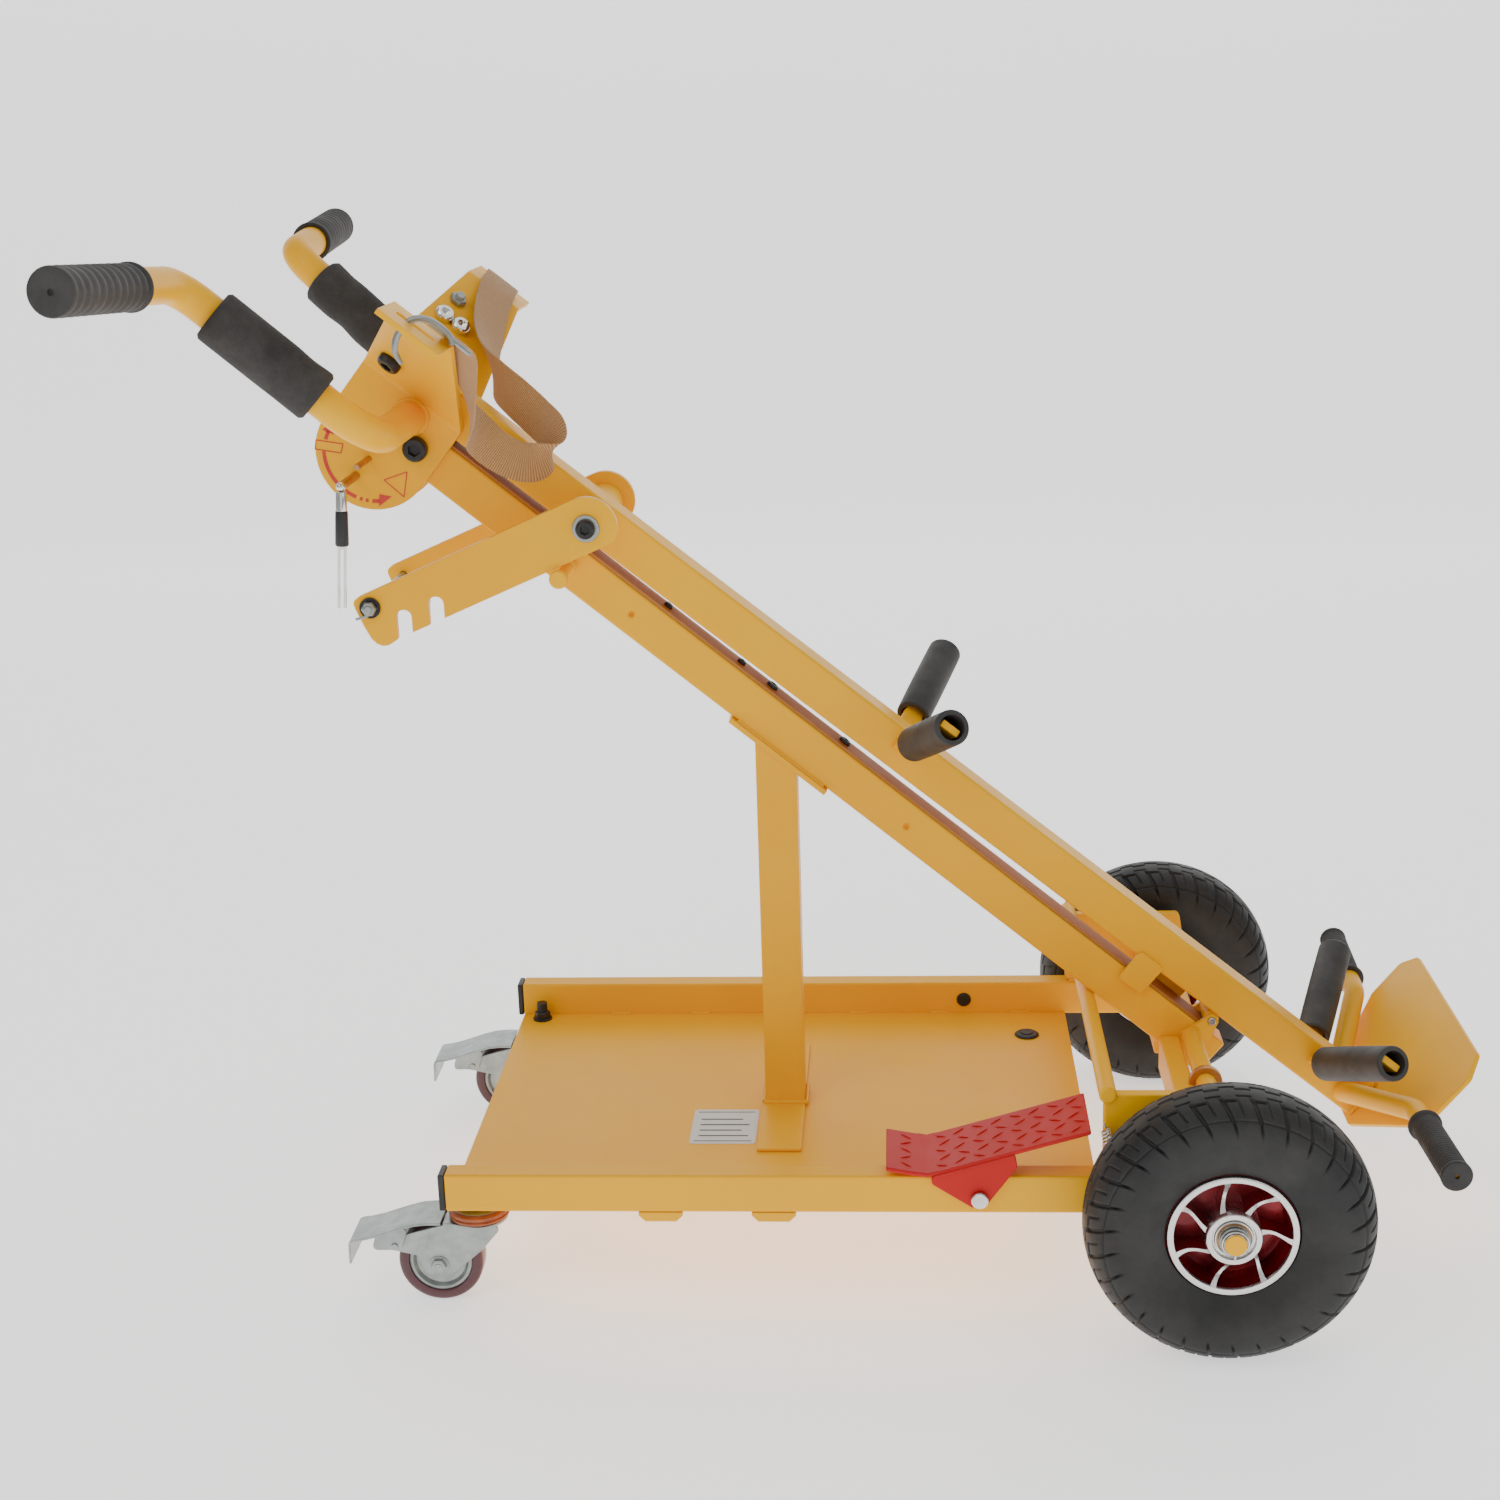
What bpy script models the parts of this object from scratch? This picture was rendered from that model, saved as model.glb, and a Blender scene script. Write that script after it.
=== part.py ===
"""Four-wheeled tilting dolly: tray chassis, fixed mast, hinged cradle with V arms and a notched prop.

Metres, +Z up, +X towards the toe plate, -Y towards the pedal side.  The origin is on the
floor under the middle of the overall box.  Lengths along the two beams are given as
(u, v, y): u runs up the beam from the cradle hinge, v is square to it, y is across.
"""
import bpy
import bmesh
from math import cos, sin, radians, pi, hypot
from mathutils import Vector, Matrix

# ---------------------------------------------------------------- driving dimensions
GAP = 0.0003                    # air left between pieces that touch
AXLE_X = 0.3319                 # big wheel axle, ahead of the middle of the dolly
TYRE_R = 0.127                  # 10 inch tyre
TYRE_W = 0.076
WHEEL_Y = 0.2884                # middle of each big wheel
AXLE_Z = TYRE_R
AXLE_R = 0.010

RAIL_Y = 0.2147                 # inner face of each rail
RAIL_W = 0.0234
RAIL_Z0, RAIL_Z1 = 0.1067, 0.1433
RAIL_X0 = AXLE_X - 0.7032
RAIL_X1 = AXLE_X + 0.026
TRAY_X1 = AXLE_X - 0.1045
TRAY_Z0, TRAY_Z1 = 0.1069, 0.1089

HINGE_X, HINGE_Z = AXLE_X + 0.0202, 0.1998
CRADLE_PITCH = radians(39.0)
MAST_PITCH = radians(39.6)
BEAM_H = 0.040
CRADLE_HALF_Y = 0.018
CRADLE_V0 = 0.0065              # underside of the cradle beam above the hinge pin
CRADLE_V1 = CRADLE_V0 + BEAM_H
CRADLE_U0, CRADLE_U1 = -0.1715, 1.020
MAST_HALF_Y = 0.017
MAST_V1 = -0.0118               # top of the mast below the hinge pin
MAST_V0 = MAST_V1 - BEAM_H
MAST_U0, MAST_U1 = -0.028, 0.930

POST_X0, POST_X1 = AXLE_X - 0.4200, AXLE_X - 0.3810
POST_HALF_Y = 0.020
TOP_PLATE_U = (0.440, 0.556)

PROP_U, PROP_V = 0.775, 0.0285  # prop hinge on the cradle
PROP_Y0, PROP_Y1 = 0.068, 0.076
PROP_PITCH = radians(23.0)      # how far the notched bars point below level
STOP_U, STOP_V = 0.7672, -0.0237
STOP_R = 0.005
TUBE_R = 0.016                  # handlebar tube
FOAM_R = 0.024
GRIP_R = 0.019

CASTER_X = AXLE_X - 0.680
CASTER_Y = 0.200
CASTER_R = 0.040
CASTER_W = 0.024
CASTER_TRAIL = 0.038

PEDAL_X, PEDAL_Z = AXLE_X - 0.2148, 0.124
LEVER_U, LEVER_V = 0.9744, -0.0766


# ---------------------------------------------------------------- scene and materials
for old in list(bpy.data.objects):
    bpy.data.objects.remove(old, do_unlink=True)


def material(name, rgb, roughness, metallic=0.0):
    mat = bpy.data.materials.new(name)
    mat.use_nodes = True
    shader = mat.node_tree.nodes["Principled BSDF"]
    shader.inputs["Base Color"].default_value = (*rgb, 1.0)
    shader.inputs["Roughness"].default_value = roughness
    shader.inputs["Metallic"].default_value = metallic
    mat.diffuse_color = (*rgb, 1.0)
    return mat


YELLOW = material("yellow_powder_coat", (0.88, 0.52, 0.03), 0.35)
BLACK_STEEL = material("black_steel", (0.02, 0.02, 0.02), 0.4, 0.6)
RUBBER = material("black_rubber", (0.03, 0.03, 0.03), 0.7)
FOAM = material("foam", (0.035, 0.035, 0.036), 0.9)
TYRE = material("tyre_rubber", (0.02, 0.02, 0.02), 0.6)
HUB_RED = material("hub_red", (0.35, 0.01, 0.02), 0.35, 0.2)
STEEL = material("bright_steel", (0.65, 0.65, 0.63), 0.3, 1.0)
ZINC = material("zinc_plate", (0.6, 0.62, 0.6), 0.35, 0.9)
MAROON = material("polyurethane_maroon", (0.12, 0.02, 0.03), 0.35)
RACE = material("caster_race", (0.35, 0.12, 0.05), 0.5)
PEDAL_RED = material("pedal_red", (0.6, 0.05, 0.05), 0.35)
WEBBING = material("tan_webbing", (0.5, 0.3, 0.15), 0.85)
STRIP = material("brown_wear_strip", (0.42, 0.22, 0.1), 0.7)


# ---------------------------------------------------------------- frames
def beam(u, v, y, pitch=CRADLE_PITCH):
    """World point at u up the beam from the hinge pin, v square to it, y across."""
    return Vector((HINGE_X - u * cos(pitch) + v * sin(pitch), y,
                   HINGE_Z + u * sin(pitch) + v * cos(pitch)))


def mast(u, v, y):
    return beam(u, v, y, MAST_PITCH)


PROP_AT = beam(PROP_U, PROP_V, 0)
LEVER_AT = beam(LEVER_U, LEVER_V, 0)


def prop(a, b, y):
    """World point at a along the notched bar from its hinge, b above its centre line."""
    return Vector((PROP_AT.x - a * cos(PROP_PITCH) - b * sin(PROP_PITCH), y,
                   PROP_AT.z - a * sin(PROP_PITCH) + b * cos(PROP_PITCH)))


def joint_frame(name, at, parent=None):
    """Empty on a joint's axis; the pieces that move on it are parented to it."""
    empty = bpy.data.objects.new(name, None)
    bpy.context.scene.collection.objects.link(empty)
    empty.parent = parent
    empty.location = Vector(at) - (world_location(parent) if parent else Vector())
    return empty


def world_location(obj):
    place = obj.location.copy()
    while obj.parent:
        obj = obj.parent
        place += obj.location
    return place


# ---------------------------------------------------------------- solids
def add(name, meshes, mat, parent=None, smooth=False):
    """One named object from closed bmesh solids given in world coordinates; several are united."""
    if not isinstance(meshes, (list, tuple)):
        meshes = [meshes]
    obj = bpy.data.objects.new(name, as_mesh(name, meshes[:1], parent))
    bpy.context.scene.collection.objects.link(obj)
    obj.data.materials.append(mat)
    obj.parent = parent
    if smooth:
        obj.data.shade_smooth()
        obj.data.set_sharp_from_angle(angle=radians(35))
    if meshes[1:]:
        boolean(obj, meshes[1:], 'UNION')
    return obj


def as_mesh(name, meshes, parent):
    data = bpy.data.meshes.new(name)
    whole = bmesh.new()
    for piece in meshes:
        bmesh.ops.recalc_face_normals(piece, faces=piece.faces)
        piece.to_mesh(data)
        whole.from_mesh(data)
        piece.free()
    whole.to_mesh(data)
    whole.free()
    if parent:
        data.transform(Matrix.Translation(-world_location(parent)))
    return data


def boolean(obj, meshes, operation):
    """Unite closed solids with an object, or cut them out of it."""
    name = obj.name + "_" + operation.lower()
    helper = bpy.data.objects.new(name, as_mesh(name, meshes, obj.parent))
    bpy.context.scene.collection.objects.link(helper)
    helper.parent = obj.parent
    helper.hide_render = True
    helper.display_type = 'WIRE'
    modifier = obj.modifiers.new(operation.lower(), 'BOOLEAN')
    modifier.operation = operation
    modifier.solver = 'EXACT'
    modifier.use_self = len(meshes) > 1
    modifier.object = helper


def cut(obj, meshes):
    boolean(obj, meshes, 'DIFFERENCE')


def box(low, high, bevel=0.0):
    """Axis-aligned block between two corners, with its edges eased by bevel."""
    bm = bmesh.new()
    bmesh.ops.create_cube(bm, size=1.0)
    low, high = Vector(low), Vector(high)
    for vert in bm.verts:
        for axis in range(3):
            vert.co[axis] = low[axis] if vert.co[axis] < 0 else high[axis]
    if bevel:
        bmesh.ops.bevel(bm, geom=bm.edges[:], offset=bevel, segments=2, profile=0.5, affect='EDGES')
    return bm


def prism(outline, y0, y1):
    """Solid between y0 and y1 whose side view is a list of (x, z) points."""
    bm = bmesh.new()
    near = [bm.verts.new((x, y0, z)) for x, z in outline]
    far = [bm.verts.new((x, y1, z)) for x, z in outline]
    bm.faces.new(near)
    bm.faces.new(far)
    count = len(outline)
    for i in range(count):
        j = (i + 1) % count
        bm.faces.new((near[i], near[j], far[j], far[i]))
    return bm


def beam_block(frame, u0, u1, v0, v1, half_y, corner=0.0):
    """Bar along a beam frame with its four long corners cut by corner."""
    section = [(v0 + corner, -half_y), (v0, -half_y + corner), (v0, half_y - corner),
               (v0 + corner, half_y), (v1 - corner, half_y), (v1, half_y - corner),
               (v1, -half_y + corner), (v1 - corner, -half_y)]
    if not corner:
        section = [(v0, -half_y), (v0, half_y), (v1, half_y), (v1, -half_y)]
    return skin([[frame(u, v, y) for v, y in section] for u in (u0, u1)])


def skin(rings, closed=False):
    """Closed solid through a row of matching rings; closed joins the last to the first."""
    bm = bmesh.new()
    loops = [[bm.verts.new(point) for point in ring] for ring in rings]
    pairs = list(zip(loops, loops[1:]))
    if closed:
        pairs.append((loops[-1], loops[0]))
    for one, two in pairs:
        for i in range(len(one)):
            j = (i + 1) % len(one)
            bm.faces.new((one[i], one[j], two[j], two[i]))
    if not closed:
        bm.faces.new(loops[0])
        bm.faces.new(loops[-1])
    return bm


def circle(centre, across, up, radius, sides):
    """Ring of points around centre in the plane of two unit vectors."""
    return [centre + radius * (cos(2 * pi * i / sides) * across + sin(2 * pi * i / sides) * up)
            for i in range(sides)]


def square_to(direction):
    """Two unit vectors square to a direction and to each other."""
    direction = Vector(direction).normalized()
    helper = Vector((0, 1, 0)) if abs(direction.y) < 0.9 else Vector((0, 0, 1))
    across = direction.cross(helper).normalized()
    return across, direction.cross(across).normalized()


def rod(start, end, radius, sides=16, end_radius=None):
    """Round bar between two points, tapering to end_radius where one is given."""
    start, end = Vector(start), Vector(end)
    across, up = square_to(end - start)
    last = radius if end_radius is None else end_radius
    return skin([circle(start, across, up, radius, sides), circle(end, across, up, last, sides)])


def spindle(profile, start, end, sides=16):
    """Solid turned shaft from (radius, fraction of the length) steps."""
    start, end = Vector(start), Vector(end)
    across, up = square_to(end - start)
    return skin([circle(start + (end - start) * along, across, up, radius, sides) for radius, along in profile])


def pipe(start, end, outer, inner, sides=20):
    """Open-ended tube between two points."""
    return lathe([(outer, 0), (outer, 1), (inner, 1), (inner, 0)], start, end, sides)


def lathe(profile, start, end, sides=28):
    """Ring turned about the line start-end from (radius, fraction of the length) points."""
    start, end = Vector(start), Vector(end)
    across, up = square_to(end - start)
    rings = []
    for i in range(sides):
        turn = 2 * pi * i / sides
        out = cos(turn) * across + sin(turn) * up
        rings.append([start + (end - start) * along + out * radius for radius, along in profile])
    return skin(rings, closed=True)


def sweep(points, radius, sides=12):
    """Round bar through a row of points, its rings turned with the path."""
    points = [Vector(point) for point in points]
    tangents = []
    for i, point in enumerate(points):
        before, after = points[max(i - 1, 0)], points[min(i + 1, len(points) - 1)]
        tangents.append((after - before).normalized())
    across, up = square_to(tangents[0])
    rings = [circle(points[0], across, up, radius, sides)]
    for i in range(1, len(points)):
        turn = tangents[i - 1].rotation_difference(tangents[i])
        across, up = turn @ across, turn @ up
        rings.append(circle(points[i], across, up, radius, sides))
    return skin(rings)


def bent(corners, radius, steps=5):
    """Path through corner points with each inner corner rounded to a radius."""
    corners = [Vector(corner) for corner in corners]
    path = [corners[0]]
    for before, corner, after in zip(corners, corners[1:], corners[2:]):
        back, ahead = (before - corner).normalized(), (after - corner).normalized()
        angle = back.angle(ahead)
        trim = radius / max(0.05, abs(sin(angle / 2) / cos(angle / 2)))
        start, end = corner + back * trim, corner + ahead * trim
        centre = corner + (back + ahead).normalized() * hypot(radius, trim)
        arm0, arm1 = (start - centre).normalized(), (end - centre).normalized()
        for i in range(steps + 1):
            path.append(centre + radius * arm0.slerp(arm1, i / steps))
    path.append(corners[-1])
    return path


def arc(cx, cz, radius, first, last, steps):
    """Points of an arc from first to last degrees about (cx, cz)."""
    return [(cx + radius * cos(radians(first + (last - first) * i / steps)),
             cz + radius * sin(radians(first + (last - first) * i / steps)))
            for i in range(steps + 1)]


def rounded(corners, radius, steps=3):
    """Closed outline with every corner rounded."""
    out = []
    count = len(corners)
    for i, corner in enumerate(corners):
        before, after = corners[i - 1], corners[(i + 1) % count]
        path = bent([(before[0], before[1], 0), (corner[0], corner[1], 0), (after[0], after[1], 0)],
                    radius, steps)
        out += [(point.x, point.y) for point in path[1:-1]]
    return out


def between(one, other, share):
    return one + (other - one) * share


def both_sides(build):
    """The near and far copies of a piece built for side -1 and side +1."""
    return [build(-1), build(1)]


# ---------------------------------------------------------------- chassis
def make_chassis():
    for name, side in (("rail_near", -1), ("rail_far", 1)):
        inner, outer = side * RAIL_Y, side * (RAIL_Y + RAIL_W)
        low = (RAIL_X0, min(inner, outer), RAIL_Z0)
        high = (RAIL_X1, max(inner, outer), RAIL_Z1)
        rail = add(name, box(low, high, 0.002), YELLOW)
        axle_hole = rod((AXLE_X, side * 0.2, AXLE_Z), (AXLE_X, side * 0.26, AXLE_Z), AXLE_R + GAP, 16)
        holes = [axle_hole]
        if side < 0:
            holes.append(rod((PEDAL_X, -0.26, PEDAL_Z), (PEDAL_X, -0.2, PEDAL_Z), 0.0058, 12))
        else:
            holes.append(rod((PEDAL_X, 0.2, PEDAL_Z), (PEDAL_X, 0.226, PEDAL_Z), 0.0068, 12))
        cut(rail, holes)

    lip = 0.0115
    edge = RAIL_Y - GAP
    tray_side = [(RAIL_X0 + 0.001, TRAY_Z1), (RAIL_X0 + 0.001, TRAY_Z1 - lip), (RAIL_X0 + 0.003, TRAY_Z1 - lip),
                 (RAIL_X0 + 0.003, TRAY_Z0), (TRAY_X1 - 0.002, TRAY_Z0), (TRAY_X1 - 0.002, TRAY_Z1 - lip),
                 (TRAY_X1, TRAY_Z1 - lip), (TRAY_X1, TRAY_Z1)]
    tray = [prism(tray_side, -edge, edge)]
    for x0, x1 in ((-0.525, -0.4846), (-0.4213, -0.381)):
        channel = [(x0, 0.1064), (x0, 0.1034), (x0 + 0.006, 0.0975), (x1 - 0.006, 0.0975), (x1, 0.1034), (x1, 0.1064)]
        tray.append(prism([(AXLE_X + x, z) for x, z in channel], -(RAIL_Y + RAIL_W), RAIL_Y + RAIL_W))
        tray.append(box((AXLE_X + x0 + 0.004, -0.209, 0.1030), (AXLE_X + x1 - 0.004, 0.209, 0.1079)))
    floor = add("floor_tray", tray, YELLOW)
    cut(floor, both_sides(lambda side: rod((CASTER_X, side * CASTER_Y, 0.09), (CASTER_X, side * CASTER_Y, 0.12),
                                           0.0063, 12)))

    plate_z = TRAY_Z1 + GAP
    foot = box((POST_X0 - 0.0035, -0.122, plate_z), (POST_X1 + 0.0005, 0.122, plate_z + 0.003), 0.0008)
    top = beam_block(mast, *TOP_PLATE_U, MAST_V0 - GAP - 0.005, MAST_V0 - GAP, 0.023)
    def underside(x):
        """Height at x of a line just inside the top plate."""
        start = mast(0, MAST_V0 - GAP - 0.003, 0)
        return start.z + (start.x - x) * sin(MAST_PITCH) / cos(MAST_PITCH)

    base = plate_z + 0.001
    tube = prism([(POST_X0, base), (POST_X1, base), (POST_X1, underside(POST_X1)), (POST_X0, underside(POST_X0))],
                 -POST_HALF_Y, POST_HALF_Y)
    add("post", [foot, tube, top], YELLOW)


def make_mast():
    ear_in, ear_out = MAST_HALF_Y - 0.001, 0.022
    body = beam_block(mast, MAST_U0, MAST_U1, MAST_V0, MAST_V1, MAST_HALF_Y, 0.003)
    drillings = [rod(mast(u, v, -0.03), mast(u, v, -0.012), 0.0026, 10)
                 for u, v in ((0.692, -0.0325), (0.357, -0.0335))]

    def ear(side):
        low, high = sorted((side * ear_in, side * ear_out))
        tip = [beam(0.0062 * cos(radians(a)), 0.0062 * sin(radians(a)), 0) for a in range(0, 181, 30)]
        foot = [mast(-0.016, MAST_V1 - 0.018, 0), mast(0.016, MAST_V1 - 0.018, 0)]
        return prism([(p.x, p.z) for p in tip + foot], low, high)

    pin = [rod(beam(0, 0, -0.0235), beam(0, 0, 0.0235), 0.004, 12)]
    add("hinge_pin", pin, STEEL)

    strip = beam_block(mast, -0.012, MAST_U1 - 0.002, MAST_V1 + GAP, MAST_V1 + 0.0030, 0.0155)
    add("slide_strip", strip, STRIP)
    def stop(side):
        at = beam(STOP_U, STOP_V, 0)
        profile = [(0.0085, 0.0), (0.0085, 0.16), (STOP_R, 0.16), (STOP_R, 0.905), (0.0085, 0.905), (0.0085, 1.0)]
        return spindle(profile, (at.x, side * (MAST_HALF_Y - 0.001), at.z), (at.x, side * 0.0850, at.z), 14)

    whole = add("mast_beam", [body] + both_sides(ear) + both_sides(stop), YELLOW)
    cut(whole, drillings + [rod(beam(0, 0, -0.03), beam(0, 0, 0.03), 0.0043, 12)])


def make_front_frame():
    plate_top = 0.2205
    plate_y0, plate_y1 = 0.2200, 0.2320

    def upright(side):
        low, high = sorted((side * plate_y0, side * plate_y1))
        outline = rounded([(AXLE_X - 0.104, RAIL_Z1 + GAP), (AXLE_X + 0.030, RAIL_Z1 + GAP),
                           (AXLE_X + 0.018, plate_top), (AXLE_X - 0.104, plate_top)], 0.004, 2)
        return prism(outline, low, high)

    tube_x, tube_z = AXLE_X - 0.1010, 0.2216
    braces = [rod((tube_x, -0.236, tube_z), (tube_x, 0.236, tube_z), 0.0080, 14)]
    braces += both_sides(lambda side: rod((AXLE_X, side * (MAST_HALF_Y + 0.0055), 0.185),
                                          (AXLE_X, side * (plate_y0 + 0.002), 0.185), 0.0096, 14))
    braces += both_sides(lambda side: rod((AXLE_X, side * 0.124, 0.185), (AXLE_X, side * 0.131, 0.185), 0.0155, 20))
    reach = (MAST_HALF_Y + GAP, plate_y0 + 0.002)
    beams = both_sides(lambda side: box((AXLE_X - 0.0305, min(side * y for y in reach), 0.1475),
                                        (AXLE_X - 0.0084, max(side * y for y in reach), 0.183), 0.0015))
    add("front_frame", both_sides(upright) + braces + beams, YELLOW)
    end = WHEEL_Y + TYRE_W / 2 + 0.006
    axle = [rod((AXLE_X, -end, AXLE_Z), (AXLE_X, end, AXLE_Z), AXLE_R, 16)]
    for y0, y1, radius in ((WHEEL_Y + 0.0370, WHEEL_Y + 0.0395, 0.0135),
                           (RAIL_Y + RAIL_W + GAP, WHEEL_Y - 0.0373, 0.0145)):
        axle += both_sides(lambda side: rod((AXLE_X, side * y0, AXLE_Z), (AXLE_X, side * y1, AXLE_Z), radius, 16))
    add("wheel_axle", axle, STEEL)


# ---------------------------------------------------------------- big wheels
def make_big_wheel(tag, side):
    frame = joint_frame("wheel_axis_" + tag, (AXLE_X, side * WHEEL_Y, AXLE_Z))
    bead_r, half = 0.058, TYRE_W / 2

    def across(offset):
        return (offset + half) / TYRE_W

    section = [(bead_r, across(-0.026))]
    for i in range(11):
        turn = radians(-180 + 18 * i)
        radius = 0.088 + 0.039 * abs(sin(turn)) ** 0.62
        section.append((radius, across(half * cos(turn))))
    section.append((bead_r, across(0.026)))
    start, end = (AXLE_X, side * (WHEEL_Y - half), AXLE_Z), (AXLE_X, side * (WHEEL_Y + half), AXLE_Z)
    add("tyre_" + tag, lathe(section, start, end, 36), TYRE, frame, smooth=True)

    rim_out = bead_r - GAP
    profile = [(rim_out, across(-0.025)), (rim_out, across(0.025)), (0.056, across(0.029)), (0.052, across(0.029)),
               (0.048, across(0.017)), (0.026, across(0.013)), (0.026, across(0.0355)), (0.0168, across(0.0355)),
               (0.0168, across(-0.0355)), (0.026, across(-0.0355)), (0.026, across(0.001)), (0.046, across(0.004)),
               (0.050, across(-0.025))]
    rim = add("rim_" + tag, lathe(profile, start, end, 28), HUB_RED, frame, smooth=True)
    windows = []
    for i in range(7):
        turn = 2 * pi * (i + 0.5) / 7
        x, z = AXLE_X + 0.0365 * cos(turn), AXLE_Z + 0.0365 * sin(turn)
        windows.append(rod((x, side * (WHEEL_Y - 0.02), z), (x, side * (WHEEL_Y + 0.024), z), 0.0062, 8))
    cut(rim, windows)
    add("hub_bush_" + tag, pipe((AXLE_X, side * (WHEEL_Y - 0.0355), AXLE_Z), (AXLE_X, side * (WHEEL_Y + 0.0355), AXLE_Z),
                               0.0165, AXLE_R + GAP, 20), STEEL, frame)


# ---------------------------------------------------------------- casters
def make_caster(tag, side):
    y = side * CASTER_Y
    wheel_x = CASTER_X - CASTER_TRAIL
    swivel = joint_frame("swivel_axis_" + tag, (CASTER_X, y, 0.0))
    roll = joint_frame("caster_axis_" + tag, (wheel_x, y, CASTER_R), swivel)
    plate_in, plate_out = 0.0155, 0.0180
    crown_z0, crown_z1 = 0.0815, 0.0845
    brake_x, brake_z = wheel_x - 0.040, 0.0615

    cheek = rounded([(CASTER_X + 0.026, crown_z0 + 0.001), (CASTER_X + 0.004, 0.056), (wheel_x + 0.012, 0.031),
                     (wheel_x - 0.012, 0.031), (wheel_x - 0.020, 0.050), (wheel_x - 0.046, 0.056),
                     (wheel_x - 0.052, 0.066), (CASTER_X - 0.031, crown_z0 + 0.001)], 0.004, 2)
    crown = [(CASTER_X + 0.027 * cos(radians(a)), 0.027 * sin(radians(a))) for a in range(-90, 91, 18)]
    crown += [(CASTER_X - 0.032, 0.0185), (CASTER_X - 0.032, -0.0185)]
    top = skin([[Vector((x, y + dy, z)) for x, dy in crown] for z in (crown_z0, crown_z1)])
    fork = add("caster_fork_" + tag,
               [prism(cheek, y - plate_out, y - plate_in), prism(cheek, y + plate_in, y + plate_out), top], ZINC, swivel)
    cut(fork, [rod((CASTER_X, y, 0.07), (CASTER_X, y, 0.09), 0.0060, 12),
               rod((wheel_x, y - 0.03, CASTER_R), (wheel_x, y + 0.03, CASTER_R), 0.0043, 10),
               rod((brake_x, y - 0.03, brake_z), (brake_x, y + 0.03, brake_z), 0.0034, 10)])
    race = [(0.0130, 0.0), (0.0265, 0.0), (0.0285, 0.25), (0.0285, 0.75), (0.0255, 1.0), (0.0130, 1.0)]
    add("caster_race_" + tag, lathe(race, (CASTER_X, y, crown_z1 + GAP), (CASTER_X, y, 0.0950), 24), RACE, swivel)
    pin_half = 0.0235
    profile = [(0.0040, 0.0), (0.0040, 0.02), (0.0075, 0.02), (0.0075, 0.11), (0.0040, 0.11), (0.0040, 0.89),
               (0.0075, 0.89), (0.0075, 0.98), (0.0040, 0.98), (0.0040, 1.0)]
    add("caster_axle_" + tag, spindle(profile, (wheel_x, y - pin_half, CASTER_R), (wheel_x, y + pin_half, CASTER_R), 10),
        ZINC, swivel)

    tread = [(0.0300, 0.04), (0.0300, 0.96), (0.0350, 1.0), (0.0385, 0.97), (CASTER_R, 0.85), (CASTER_R, 0.15),
             (0.0385, 0.03), (0.0350, 0.0)]
    start, end = (wheel_x, y - CASTER_W / 2, CASTER_R), (wheel_x, y + CASTER_W / 2, CASTER_R)
    add("caster_tread_" + tag, lathe(tread, start, end, 24), MAROON, roll, smooth=True)
    core = [(0.0297, 0.08), (0.0297, 0.92), (0.0260, 0.96), (0.0230, 0.80), (0.0110, 0.80), (0.0090, 1.08),
            (0.0043, 1.08), (0.0043, -0.08), (0.0090, -0.08), (0.0110, 0.20), (0.0230, 0.20), (0.0260, 0.04)]
    add("caster_core_" + tag, lathe(core, start, end, 20), ZINC, roll, smooth=True)

    brake = joint_frame("brake_axis_" + tag, (brake_x, y, brake_z), swivel)
    top_line = [(wheel_x + 0.005, 0.0862), (wheel_x - 0.020, 0.0850), (wheel_x - 0.058, 0.0730), (wheel_x - 0.080, 0.0690)]
    sheet = 0.0022
    web = [(wheel_x - 0.026, 0.0818), (wheel_x - 0.058, 0.0718), (wheel_x - 0.062, 0.0570), (wheel_x - 0.034, 0.0570)]
    lip = [(wheel_x - 0.0785, 0.0682), (wheel_x - 0.0815, 0.0682), (wheel_x - 0.0840, 0.0440), (wheel_x - 0.0818, 0.0440)]
    parts = [prism(top_line + [(x, z - sheet) for x, z in reversed(top_line)], y - 0.0235, y + 0.0235)]
    parts += [prism(web, *sorted((y + s * 0.0185, y + s * 0.0207))) for s in (-1, 1)]
    parts.append(prism(lip, y - 0.0230, y + 0.0230))
    parts.append(rod((brake_x, y - 0.0225, brake_z), (brake_x, y + 0.0225, brake_z), 0.0030, 10))
    add("brake_lever_" + tag, parts, ZINC, brake)


def make_kingpins():
    for tag, side in (("near", -1), ("far", 1)):
        x, y = CASTER_X, side * CASTER_Y
        bottom, top = 0.0853, 0.1285
        stud = rod((x, y, bottom), (x, y, top), 0.0055, 12)
        spacer = rod((x, y, 0.0953), (x, y, 0.1034), 0.0120, 16)
        flange = rod((x, y, TRAY_Z1 + GAP), (x, y, 0.1112), 0.0105, 16)
        nut = rod((x, y, 0.1100), (x, y, 0.1185), 0.0080, 6)
        add("kingpin_" + tag, [stud, spacer, flange, nut], BLACK_STEEL)


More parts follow.
